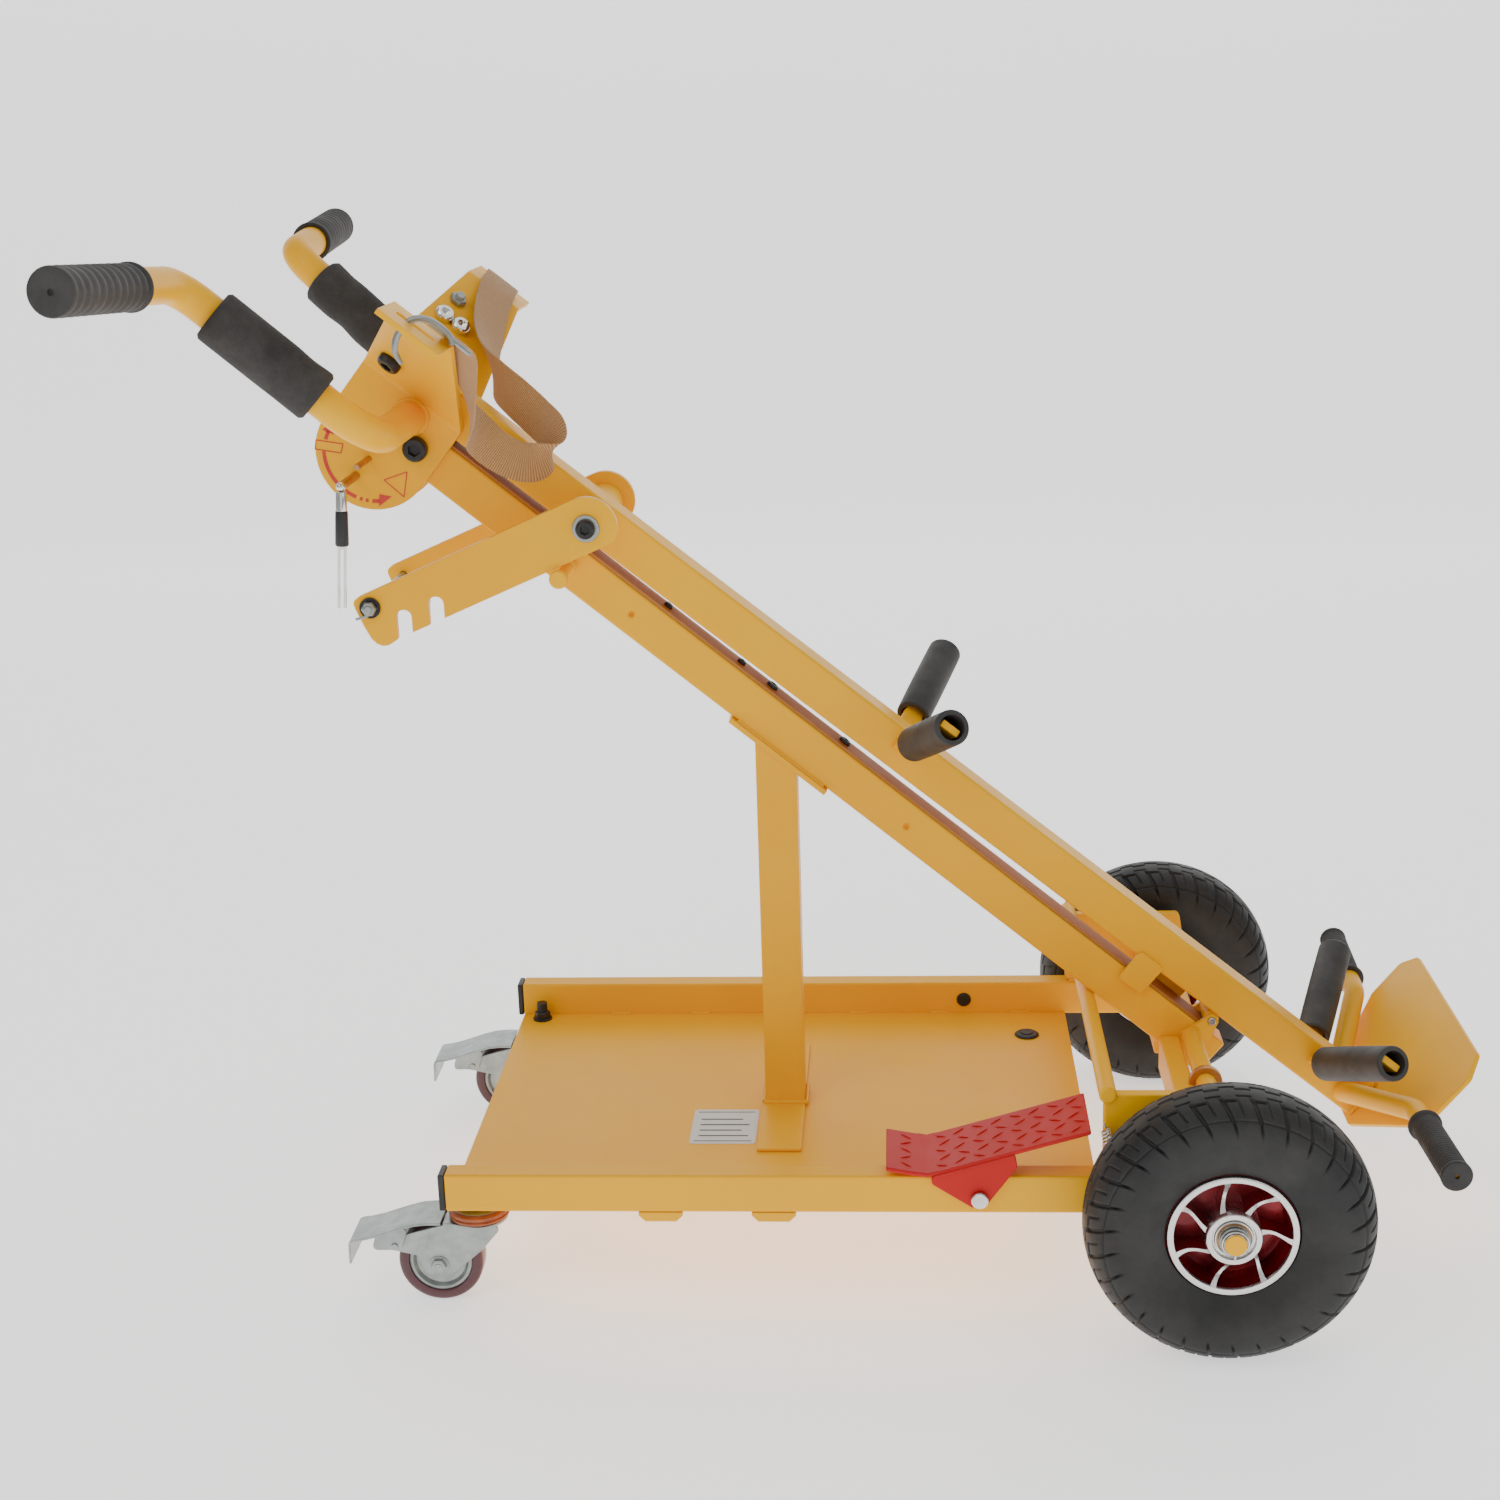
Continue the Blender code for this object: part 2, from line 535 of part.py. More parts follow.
# ---------------------------------------------------------------- pedal
def make_pedal():
    frame = joint_frame("pedal_axis", (PEDAL_X, 0.0, PEDAL_Z))
    left, bend, right = AXLE_X - 0.2986, AXLE_X - 0.2610, AXLE_X - 0.1160
    tip_z, low_z, high_z, sheet = 0.1551, 0.1482, 0.1912, 0.0040
    side_view = [(left, tip_z), (bend, low_z), (right, high_z), (right + 0.001, high_z - sheet),
                 (bend, low_z - sheet), (left, tip_z - sheet)]
    plate = prism(side_view, -0.2440, -0.1640)

    def ear(y0, y1):
        outline = [(-0.2580, 0.1462), (-0.2575, 0.1380), (-0.2220, 0.1150), (-0.2100, 0.1150),
                   (-0.1810, 0.1550), (-0.1830, 0.1690)]
        return prism([(AXLE_X + x, z) for x, z in outline], y0, y1)

    pedal = add("pedal", [plate, ear(-0.2435, -0.2395), ear(-0.2130, -0.2090)], PEDAL_RED, frame)
    cut(pedal, [rod((PEDAL_X, -0.25, PEDAL_Z), (PEDAL_X, -0.2, PEDAL_Z), 0.0053, 12)])
    profile = [(0.005, 0.0), (0.005, 0.90), (0.0075, 0.90), (0.0075, 1.0)]
    add("pedal_pin", spindle(profile, (PEDAL_X, -0.2060, PEDAL_Z), (PEDAL_X, -0.2490, PEDAL_Z), 14), STEEL)
    add("pedal_spring", rod((AXLE_X - 0.1040, -0.2385, 0.1950), (AXLE_X - 0.0950, -0.2385, 0.1500), 0.0048, 12), STEEL)


# ---------------------------------------------------------------- cradle
def make_cradle():
    frame = joint_frame("cradle_axis", (HINGE_X, 0.0, HINGE_Z))
    parts = [beam_block(beam, CRADLE_U0, CRADLE_U1, CRADLE_V0, CRADLE_V1, CRADLE_HALF_Y, 0.003),
             rod(beam(0, 0, -0.0155), beam(0, 0, 0.0155), 0.0074, 14)]
    for side, u0, u1 in ((-1, 0.072, 0.101), (1, 0.026, 0.066)):
        low, high = sorted((side * 0.0174, side * 0.0215))
        outline = [beam(u0, 0.013, 0), beam(u1, 0.013, 0), beam(u1, -0.022, 0), beam(u0, -0.022, 0)]
        parts.append(prism([(p.x, p.z) for p in outline], low, high))
    for side in (-1, 1):
        corners = [beam(-0.150, 0.020, side * 0.012), *toe_handle(side)]
        parts.append(sweep(bent(corners, 0.035, 4), 0.0105, 12))
        parts += [v_arm(u, side) for u in ARM_U]
        parts.append(rod((PROP_AT.x, side * (CRADLE_HALF_Y - 0.002), PROP_AT.z),
                         (PROP_AT.x, side * (PROP_Y0 - GAP), PROP_AT.z), 0.0172, 20))
    whole = add("cradle_beam", parts, YELLOW, frame)
    holes = both_sides(lambda side: rod((PROP_AT.x, side * (CRADLE_HALF_Y + GAP), PROP_AT.z),
                                        (PROP_AT.x, side * 0.09, PROP_AT.z), 0.0063, 12))
    cut(whole, holes + [rod(beam(0, 0, -0.02), beam(0, 0, 0.02), 0.0043, 12)])

    toe = [(-0.028, 0.001), (0.028, 0.001), (0.118, 0.056), (0.142, 0.088), (0.142, 0.132), (0.120, 0.152),
           (-0.120, 0.152), (-0.142, 0.132), (-0.142, 0.088), (-0.118, 0.056)]
    toe = rounded(toe, 0.010, 3)
    u_face = CRADLE_U0 - GAP
    add("toe_plate", skin([[beam(u, v, y) for y, v in toe] for u in (u_face, u_face - 0.005)]), YELLOW, frame)

    flange = [(0.0110, 0.0), (0.0152, 0.0), (0.0152, 0.03), (0.0125, 0.06), (0.0125, 0.95), (0.0138, 0.96),
              (0.0138, 1.0), (0.0020, 1.0), (0.0020, 0.975), (0.0110, 0.975)]
    for tag, side in (("near", -1), ("far", 1)):
        add("toe_grip_" + tag, lathe(flange, between(*toe_handle(side), 0.243), between(*toe_handle(side), 1.030), 18), RUBBER, frame)
        for name, u, first in (("lower", ARM_U[0], 0.034), ("upper", ARM_U[1], 0.050)):
            add("arm_sleeve_" + name + "_" + tag,
                pipe(on_arm(u, first, side), on_arm(u, 0.141, side), 0.0165, 0.0118, 16), RUBBER, frame)
    return frame


ARM_U = (-0.110, 0.410)
SECTOR_U, SECTOR_V, SECTOR_R = 0.974, -0.047, 0.055
FOLD_V = 0.020
WING_Y, FLANGE_Y = 0.170, 0.238
FLANGE_V = 0.1085
SHEET = 0.005
HEAD_BOLT = (0.944, -0.021)
CHEEK_Y = CRADLE_HALF_Y + GAP
CHEEK_OUT = CHEEK_Y + SHEET


def toe_handle(side):
    """Ends of the straight grip length of the handle beside the toe plate."""
    return beam(-0.157, 0.078, side * 0.140), beam(-0.157, 0.084, side * 0.278)


def on_arm(u, y, side):
    """Point on the middle line of a V arm, which rises outwards from the beam."""
    return beam(u, 0.0280 + 0.591 * (y - 0.018), side * y)


def v_arm(u, side):
    root, tip = on_arm(u, CRADLE_HALF_Y - 0.003, side), on_arm(u, 0.137, side)
    along = (tip - root).normalized()
    wide = Vector((cos(CRADLE_PITCH), 0, -sin(CRADLE_PITCH)))
    thick = along.cross(wide).normalized()
    section = [(-0.0095, -0.0035), (0.0095, -0.0035), (0.0095, 0.0035), (-0.0095, 0.0035)]
    return skin([[end + a * wide + b * thick for a, b in section] for end in (root, tip)])


def make_head_plate(tag, side, frame):
    """Cheek with a round sector, folded out into a wing and again into a level flange."""
    bm = bmesh.new()
    cheek = [bm.verts.new(beam(SECTOR_U + SECTOR_R * cos(radians(a)), SECTOR_V + SECTOR_R * sin(radians(a)), side * CHEEK_Y))
             for a in range(0, -181, -15)]
    fold = [bm.verts.new(beam(u, FOLD_V, side * CHEEK_Y)) for u in (SECTOR_U - SECTOR_R, SECTOR_U + SECTOR_R)]
    crest = [bm.verts.new(beam(u, FLANGE_V, side * WING_Y)) for u in (0.957, 1.018)]
    edge = [bm.verts.new(beam(u, FLANGE_V, side * FLANGE_Y)) for u in (0.957, 1.018)]
    bm.faces.new(cheek + fold)
    bm.faces.new((fold[1], fold[0], crest[0], crest[1]))
    bm.faces.new((crest[1], crest[0], edge[0], edge[1]))
    bmesh.ops.recalc_face_normals(bm, faces=bm.faces)
    bm.faces.ensure_lookup_table()
    if bm.faces[0].normal.y * side < 0:
        bmesh.ops.reverse_faces(bm, faces=bm.faces)
    data = bpy.data.meshes.new("head_plate_" + tag)
    bm.to_mesh(data)
    bm.free()
    data.materials.append(YELLOW)
    data.transform(Matrix.Translation(-world_location(frame)))
    sheet = bpy.data.objects.new("head_plate_" + tag, data)
    bpy.context.scene.collection.objects.link(sheet)
    sheet.parent = frame
    solid = sheet.modifiers.new("thickness", 'SOLIDIFY')
    solid.thickness = SHEET
    solid.offset = 1.0
    solid.use_even_offset = True
    if side < 0:
        boolean(sheet, [rod(beam(0.9737, -0.056, side * (CHEEK_OUT - 0.002)), beam(0.9737, -0.056, side * 0.0720),
                            0.0030, 10)], 'UNION')
    slot = beam_block(beam, 0.968, 1.008, FLANGE_V - 0.02, FLANGE_V + 0.02, 0.0055)
    for vert in slot.verts:
        vert.co.y += side * 0.2040
    cut(sheet, [slot, rod(beam(*HEAD_BOLT, side * 0.01), beam(*HEAD_BOLT, side * 0.03), 0.0046, 12)])


def make_head(frame):
    for tag, side in (("near", -1), ("far", 1)):
        make_head_plate(tag, side, frame)
    reach = CHEEK_OUT + 0.0095
    bolt = [rod(beam(*HEAD_BOLT, -reach), beam(*HEAD_BOLT, reach), 0.0042, 12),
            rod(beam(*HEAD_BOLT, -CHEEK_Y + GAP), beam(*HEAD_BOLT, CHEEK_Y - GAP), 0.0060, 12)]
    bolt += both_sides(lambda side: rod(beam(*HEAD_BOLT, side * (CHEEK_OUT + GAP)), beam(*HEAD_BOLT, side * (reach - 0.001)),
                                        0.0110, 14))
    add("head_bolt", bolt, BLACK_STEEL, frame)

    for tag, side in (("near", -1), ("far", 1)):
        root, elbow = beam(0.965, -0.0004, side * (CHEEK_OUT + 0.0008)), beam(0.965, -0.0030, side * 0.164)
        shoulder, tip = beam(1.171, 0.0100, side * 0.1915), beam(1.191, 0.0120, side * 0.430)
        path = bent([root, elbow, shoulder, tip], 0.050, 5)
        path = path[:7] + bent([elbow, shoulder, tip], 0.034, 5)[1:]
        add("handlebar_" + tag, sweep(path, TUBE_R, 14), YELLOW, frame, smooth=True)
        add("foam_sleeve_" + tag, pipe(between(elbow, shoulder, 0.286), between(elbow, shoulder, 0.815),
                                       FOAM_R, TUBE_R + 0.001, 18), FOAM, frame)
        profile = [(TUBE_R + 0.0008, 0.0), (GRIP_R, 0.0), (GRIP_R, 0.985), (GRIP_R - 0.002, 1.0), (0.0025, 1.0),
                   (0.0025, 0.976), (TUBE_R + 0.0008, 0.976)]
        add("handle_grip_" + tag, lathe(profile, between(shoulder, tip, 0.396), between(shoulder, tip, 1.0168), 18),
            RUBBER, frame)


def make_strap(frame):
    """Webbing from the far flange slot, over the beam in a standing loop and up to the hook on the near flange."""
    band = [  # u, v, y of the middle of the webbing, then the direction of its width
        ((0.988, 0.1010, 0.2045), (1, 0, 0)),
        ((0.988, 0.1150, 0.2020), (1, 0, 0)),
        ((0.987, 0.1165, 0.1880), (1, 0, 0)),
        ((0.984, 0.1110, 0.1640), (1, 0, 0)),
        ((0.975, 0.0980, 0.1330), (1, 0.1, 0)),
        ((0.960, 0.0820, 0.0960), (1, 0.3, 0)),
        ((0.942, 0.0710, 0.0600), (0.9, 0.6, 0)),
        ((0.922, 0.0670, 0.0300), (0.5, 0.9, 0)),
        ((0.898, 0.0685, 0.0080), (0.2, 1.0, 0)),
        ((0.872, 0.0690, -0.0070), (0.2, 1.0, 0)),
        ((0.852, 0.0690, -0.0240), (0.2, 1.0, 0)),
        ((0.842, 0.0580, -0.0340), (0.2, 1.0, 0)),
        ((0.846, 0.0440, -0.0410), (0.1, 1.0, 0)),
        ((0.860, 0.0335, -0.0440), (0.1, 1.0, 0)),
        ((0.880, 0.0300, -0.0480), (0.2, 1.0, 0)),
        ((0.899, 0.0330, -0.0560), (0.4, 1.0, 0)),
        ((0.915, 0.0450, -0.0720), (0.7, 0.8, 0)),
        ((0.927, 0.0610, -0.0930), (0.9, 0.6, 0)),
        ((0.938, 0.0790, -0.1180), (1, 0.4, 0)),
        ((0.947, 0.0970, -0.1430), (1, 0.2, 0)),
        ((0.953, 0.1100, -0.1640), (1, 0, 0)),
        ((0.957, 0.1165, -0.1820), (1, 0, 0)),
        ((0.960, 0.1165, -0.1970), (1, 0, 0)),
    ]
    half_t = 0.0013
    middles = [beam(*point) for point, _ in band]
    origin = beam(0, 0, 0)
    rings = []
    for i, (point, width) in enumerate(band):
        ahead = (middles[min(i + 1, len(band) - 1)] - middles[max(i - 1, 0)]).normalized()
        across = beam(*width) - origin
        across = (across - ahead * across.dot(ahead)).normalized()
        normal = ahead.cross(across).normalized()
        half_w = 0.0185 if i < len(band) - 3 else 0.0130
        rings.append([middles[i] + a * half_w * across + b * half_t * normal
                      for a, b in ((-1, -1), (1, -1), (1, 1), (-1, 1))])
    add("strap", skin(rings), WEBBING, frame)

    wire = [(0.9570, 0.1160), (0.9640, 0.1195), (0.9750, 0.1205), (0.9860, 0.1180), (0.9940, 0.1110), (0.9965, 0.1000),
            (0.9955, 0.0900), (0.9900, 0.0810), (0.9800, 0.0760)]
    add("strap_hook", sweep([beam(u, v, -0.2040) for u, v in wire], 0.0030, 8), ZINC, frame)


# ---------------------------------------------------------------- notched prop
def notch(a, b, half, bottom):
    """Slot with a half round end at (a, b), its walls square to the floor at rest."""
    down = Vector((sin(PROP_PITCH), -cos(PROP_PITCH)))
    level = Vector((cos(PROP_PITCH), sin(PROP_PITCH)))
    head = [Vector((a, b)) - half * cos(radians(t)) * level - half * sin(radians(t)) * down for t in range(0, 181, 30)]
    first, last = head[0], head[-1]
    return [first + down * ((first.y - bottom) / -down.y)] + head + [last + down * ((last.y - bottom) / -down.y)]


def prop_outline():
    """Side view of a notched bar as (a, b): a from its hinge, b above its centre line."""
    top, bottom = 0.0285, -0.0220
    outline = [(0.0285 * cos(radians(t)), 0.0285 * sin(radians(t))) for t in range(90, 231, 20)]
    outline += [(0.004, bottom)]
    outline += [tuple(point) for point in notch(0.1580, -0.0070, 0.0072, bottom)]
    outline += [tuple(point) for point in notch(0.1910, -0.0060, 0.0072, bottom)]
    outline += [(0.2130, -0.0235), (0.2215, -0.0220), (0.2280, -0.0120), (0.2290, 0.0200), (0.2210, top)]
    return outline


def make_prop(cradle):
    frame = joint_frame("prop_axis", PROP_AT, cradle)
    points = [prop(a, b, 0) for a, b in prop_outline()]
    rod_at = prop(0.2155, 0.0150, 0)
    holes = ((PROP_AT, 0.0063), (rod_at, 0.0044))
    for tag, side in (("near", -1), ("far", 1)):
        bar = add("prop_bar_" + tag, prism([(p.x, p.z) for p in points], *sorted((side * PROP_Y0, side * PROP_Y1))),
                  YELLOW, frame)
        cut(bar, [rod((at.x, side * 0.06, at.z), (at.x, side * 0.09, at.z), radius, 12) for at, radius in holes])
        profile = [(0.0060, 0.0), (0.0060, 0.862), (0.0125, 0.862), (0.0125, 0.93), (0.0080, 0.93), (0.0080, 1.0)]
        add("prop_bolt_" + tag, spindle(profile, (PROP_AT.x, side * (CRADLE_HALF_Y + 2 * GAP), PROP_AT.z),
                                        (PROP_AT.x, side * 0.0853, PROP_AT.z), 14), STEEL, cradle)
    profile = [(0.0041, 0.0), (0.0041, 0.01), (0.0070, 0.01), (0.0070, 0.046), (0.0098, 0.046), (0.0098, 0.058),
               (0.0041, 0.058), (0.0041, 0.942), (0.0098, 0.942), (0.0098, 0.954), (0.0070, 0.954), (0.0070, 0.99),
               (0.0041, 0.99), (0.0041, 1.0)]
    add("prop_cross_rod", spindle(profile, (rod_at.x, -0.0865, rod_at.z), (rod_at.x, 0.0865, rod_at.z), 12), ZINC, frame)


def make_release_lever(cradle):
    frame = joint_frame("lever_axis", LEVER_AT, cradle)
    lean = -0.066

    def down(distance, dx=0.0):
        return Vector((LEVER_AT.x + lean * distance + dx, -0.0800, LEVER_AT.z - distance))

    lever = [rod((LEVER_AT.x, -0.0815, LEVER_AT.z), (LEVER_AT.x, -(CHEEK_OUT + GAP), LEVER_AT.z), 0.0041, 12),
             rod(down(0.0), down(0.0585), 0.0017, 8),
             rod(down(0.0570, -0.0045), down(0.0570, 0.0045), 0.0015, 8),
             rod(down(0.0560, -0.0028), down(0.1130, -0.0038), 0.0013, 8),
             rod(down(0.0560, 0.0028), down(0.1130, 0.0018), 0.0013, 8)]
    add("release_lever", lever, ZINC, frame)
    add("release_grip", lathe([(0.0021, 0.0), (0.0050, 0.0), (0.0057, 0.45), (0.0062, 1.0), (0.0021, 1.0)],
                              down(0.0050), down(0.0548), 14), STEEL, frame)


make_chassis()
make_mast()
make_front_frame()
for wheel_tag, wheel_side in (("near", -1), ("far", 1)):
    make_big_wheel(wheel_tag, wheel_side)
    make_caster(wheel_tag, wheel_side)
make_kingpins()
make_pedal()
cradle_frame = make_cradle()
make_head(cradle_frame)
make_strap(cradle_frame)
make_prop(cradle_frame)
make_release_lever(cradle_frame)
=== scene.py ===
"""Looks of the tilting dolly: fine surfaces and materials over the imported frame.  Metres, +Z up."""
import random
import bpy
import bmesh
import numpy as np
from math import cos, sin, exp, radians, pi, hypot
from mathutils import Vector, Matrix


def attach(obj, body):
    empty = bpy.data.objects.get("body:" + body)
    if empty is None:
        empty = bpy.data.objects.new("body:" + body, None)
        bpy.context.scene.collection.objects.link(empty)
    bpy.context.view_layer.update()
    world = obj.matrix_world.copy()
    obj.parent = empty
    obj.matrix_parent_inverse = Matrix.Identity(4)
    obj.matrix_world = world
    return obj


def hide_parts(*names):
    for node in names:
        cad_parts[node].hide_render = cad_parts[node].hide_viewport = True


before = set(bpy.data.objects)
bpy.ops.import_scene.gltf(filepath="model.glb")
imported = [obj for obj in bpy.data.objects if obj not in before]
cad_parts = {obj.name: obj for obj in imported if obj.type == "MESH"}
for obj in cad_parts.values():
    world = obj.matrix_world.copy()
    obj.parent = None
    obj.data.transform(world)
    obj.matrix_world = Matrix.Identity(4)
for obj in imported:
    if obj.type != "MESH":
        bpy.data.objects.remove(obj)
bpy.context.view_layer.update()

GAP = 0.0003
AXLE_X, AXLE_Z = 0.3319, 0.127
TYRE_W, WHEEL_Y = 0.076, 0.2884
HINGE_X, HINGE_Z = AXLE_X + 0.0202, 0.1998
CRADLE_PITCH, MAST_PITCH, PROP_PITCH = radians(39.0), radians(39.6), radians(23.0)
HALF_Y, V0, V1 = 0.018, 0.0065, 0.0465
CASTER_X, CASTER_Y, CASTER_R, CASTER_W, TRAIL = AXLE_X - 0.68, 0.2, 0.04, 0.024, 0.038
PEDAL_X, PEDAL_Z = AXLE_X - 0.2148, 0.124
CHEEK_Y = HALF_Y + GAP
CHEEK_OUT = CHEEK_Y + 0.005
SIDES = (("near", -1), ("far", 1))


# ------------------------------------------------------------------ frames
def beam(u, v, y, pitch=CRADLE_PITCH):
    return Vector((HINGE_X - u * cos(pitch) + v * sin(pitch), y, HINGE_Z + u * sin(pitch) + v * cos(pitch)))


def mast(u, v, y):
    return beam(u, v, y, MAST_PITCH)


PROP_AT = beam(0.775, 0.0285, 0)
LEVER_AT = beam(0.9744, -0.0766, 0)


def prop(a, b, y):
    return Vector((PROP_AT.x - a * cos(PROP_PITCH) - b * sin(PROP_PITCH), y,
        PROP_AT.z - a * sin(PROP_PITCH) + b * cos(PROP_PITCH)))


def between(one, other, share):
    return one + (other - one) * share


# ------------------------------------------------------------------ materials
class Nodes:
    """Short hand for building one Principled material."""

    def __init__(self, name):
        self.mat = bpy.data.materials.new(name)
        self.mat.use_nodes = True
        self.tree = self.mat.node_tree
        self.shader = self.tree.nodes["Principled BSDF"]
        self.coord = self.tree.nodes.new("ShaderNodeTexCoord").outputs["Object"]

    def new(self, kind, **values):
        node = self.tree.nodes.new("ShaderNode" + kind)
        for key, value in values.items():
            if key in node.inputs.keys():
                node.inputs[key].default_value = value
            else:
                setattr(node, key, value)
        return node

    def link(self, a, b):
        self.tree.links.new(a, b)

    def noise(self, scale, detail=4.0, rough=0.55, stretch=None):
        node = self.new("TexNoise", Scale=scale, Detail=detail, Roughness=rough)
        source = self.coord
        if stretch:
            mapping = self.new("Mapping")
            mapping.inputs["Scale"].default_value = stretch
            self.link(source, mapping.inputs["Vector"])
            source = mapping.outputs["Vector"]
        self.link(source, node.inputs["Vector"])
        return node.outputs["Fac"]

    def span(self, fac, low, high, start=0.0, end=1.0):
        node = self.new("MapRange")
        node.inputs["From Min"].default_value = start
        node.inputs["From Max"].default_value = end
        node.inputs["To Min"].default_value = low
        node.inputs["To Max"].default_value = high
        self.link(fac, node.inputs["Value"])
        return node.outputs["Result"]

    def mix(self, fac, a, b):
        node = self.new("Mix", data_type='RGBA')
        if isinstance(fac, float):
            node.inputs[0].default_value = fac
        else:
            self.link(fac, node.inputs[0])
        for socket, value in ((node.inputs[6], a), (node.inputs[7], b)):
            if isinstance(value, tuple):
                socket.default_value = (*value, 1.0)
            else:
                self.link(value, socket)
        return node.outputs[2]

    def math(self, operation, a, b=0.0):
        node = self.new("Math", operation=operation)
        for socket, value in ((node.inputs[0], a), (node.inputs[1], b)):
            if isinstance(value, (int, float)):
                socket.default_value = value
            else:
                self.link(value, socket)
        return node.outputs[0]

    def bump(self, height, strength, distance=0.001, edge=0.0):
        node = self.new("Bump", Strength=strength, Distance=distance)
        self.link(height, node.inputs["Height"])
        if edge:
            bevel = self.new("Bevel", Radius=edge, samples=6)
            self.link(bevel.outputs["Normal"], node.inputs["Normal"])
        self.link(node.outputs["Normal"], self.shader.inputs["Normal"])
        return node

    def set(self, **values):
        for key, value in values.items():
            socket = self.shader.inputs[key.replace("_", " ")]
            if isinstance(value, (int, float, tuple)):
                socket.default_value = (*value, 1.0) if isinstance(value, tuple) and len(value) == 3 else value
            else:
                self.link(value, socket)
        return self.mat


def powder_coat(name, light, deep, rough=(0.3, 0.42), edge=0.0012):
    """Powder coat: slow tone drift, fine orange peel, faint dust, and edges rounded in shading by a bevel normal."""
    n = Nodes(name)
    tone = n.mix(n.span(n.noise(3.2, 3), 0.0, 1.0, 0.35, 0.65), deep, light)
    speck = n.span(n.noise(210, 2), 0.0, 0.1, 0.68, 0.8)
    tone = n.mix(speck, tone, tuple(0.55 * c for c in deep))
    peel = n.math("ADD", n.noise(420, 2, 0.5), n.math("MULTIPLY", n.noise(60, 2), 0.8))
    n.bump(peel, 0.1, 0.0006, edge)
    return n.set(Base_Color=tone, Roughness=n.span(n.noise(14, 5, 0.65), rough[0], rough[1], 0.3, 0.7),
        Specular_IOR_Level=0.3, IOR=1.35, Coat_Weight=0.02, Coat_Roughness=0.2)


def bare_metal(name, color, rough=(0.18, 0.34), metal=1.0, grain=(1, 1, 1), scale=90, bump=0.06, edge=0.0005,
        tint=None):
    n = Nodes(name)
    tint = tint or tuple(0.78 * c for c in color)
    streak = n.noise(scale, 5, 0.6, grain)
    tone = n.mix(n.span(streak, 0.0, 1.0, 0.3, 0.7), tint, color)
    n.bump(streak, bump, 0.0004, edge)
    return n.set(Base_Color=tone, Metallic=metal, Roughness=n.span(n.noise(38, 5, 0.7), rough[0], rough[1], 0.3, 0.7))


def rubber(name, dark, pale, rough=(0.55, 0.75), grain=900, strength=0.25, edge=0.0008):
    """Moulded rubber: pale bloom and dust on a fine grain."""
    n = Nodes(name)
    dust = n.span(n.noise(9, 6, 0.7), 0.0, 1.0, 0.4, 0.72)
    fine = n.noise(grain, 3, 0.6)
    n.bump(fine, strength, 0.0003, edge)
    return n.set(Base_Color=n.mix(dust, dark, pale), Roughness=n.span(n.noise(30, 4), rough[0], rough[1], 0.3, 0.7),
        Specular_IOR_Level=0.4)


def foam_skin(name):
    n = Nodes(name)
    cell = n.new("TexVoronoi", Scale=700.0)
    n.link(n.coord, cell.inputs["Vector"])
    dust = n.span(n.noise(16, 6, 0.7), 0.0, 1.0, 0.38, 0.75)
    height = n.math("ADD", cell.outputs["Distance"], n.math("MULTIPLY", n.noise(45, 5), 1.6))
    n.bump(height, 0.55, 0.0006)
    return n.set(Base_Color=n.mix(dust, (0.036, 0.034, 0.032), (0.075, 0.07, 0.066)),
        Roughness=n.span(n.noise(60, 4), 0.78, 0.95, 0.3, 0.7), Specular_IOR_Level=0.3)


def webbing(name):
    """Woven strap: cross ribs along its length and a herringbone of yarns, from the UV map in metres; painted shade
    darkens the low parts of the weave.
    """
    n = Nodes(name)
    uv = n.new("UVMap").outputs["UV"]
    parts = n.new("SeparateXYZ")
    n.link(uv, parts.inputs[0])
    along, across = parts.outputs[0], parts.outputs[1]
    rib = n.math("SINE", n.math("MULTIPLY", along, 2 * pi / 0.0019))
    side = n.math("PINGPONG", across, 0.0032)
    yarn = n.math("SINE", n.math("MULTIPLY", n.math("ADD", along, side), 2 * pi / 0.001))
    warp = n.math("SINE", n.math("MULTIPLY", across, 2 * pi / 0.0016))
    height = n.math("ADD", n.math("MULTIPLY", rib, 0.7), n.math("ADD", n.math("MULTIPLY", yarn, 0.25),
        n.math("MULTIPLY", warp, 0.25)))
    # Painted shade: the colour runs from dark brown in the weave's low parts to tan on its crests, following the bump
    # height.
    painted_groove_shade = n.span(height, 0.0, 1.0, -1.0, 0.9)
    tone = n.mix(painted_groove_shade, (0.21, 0.095, 0.03), (0.68, 0.37, 0.13))
    tone = n.mix(n.span(n.noise(30, 5), 0.0, 0.35, 0.4, 0.7), tone, (0.4, 0.2, 0.078))
    n.bump(height, 0.7, 0.0004)
    return n.set(Base_Color=tone, Roughness=n.span(n.noise(500, 2), 0.62, 0.85, 0.3, 0.7), Sheen_Weight=0.25,
        Sheen_Roughness=0.5, Specular_IOR_Level=0.35)


def hub_paint(name, bright, dark, metal, rough):
    n = Nodes(name)
    flow = n.noise(26, 5, 0.6)
    n.bump(n.noise(150, 4), 0.18, 0.0005, 0.0006)
    return n.set(Base_Color=n.mix(n.span(flow, 0.0, 1.0, 0.3, 0.7), dark, bright), Metallic=metal,
        Roughness=n.span(n.noise(50, 4), rough[0], rough[1], 0.3, 0.7), Coat_Weight=0.3, Coat_Roughness=0.1)


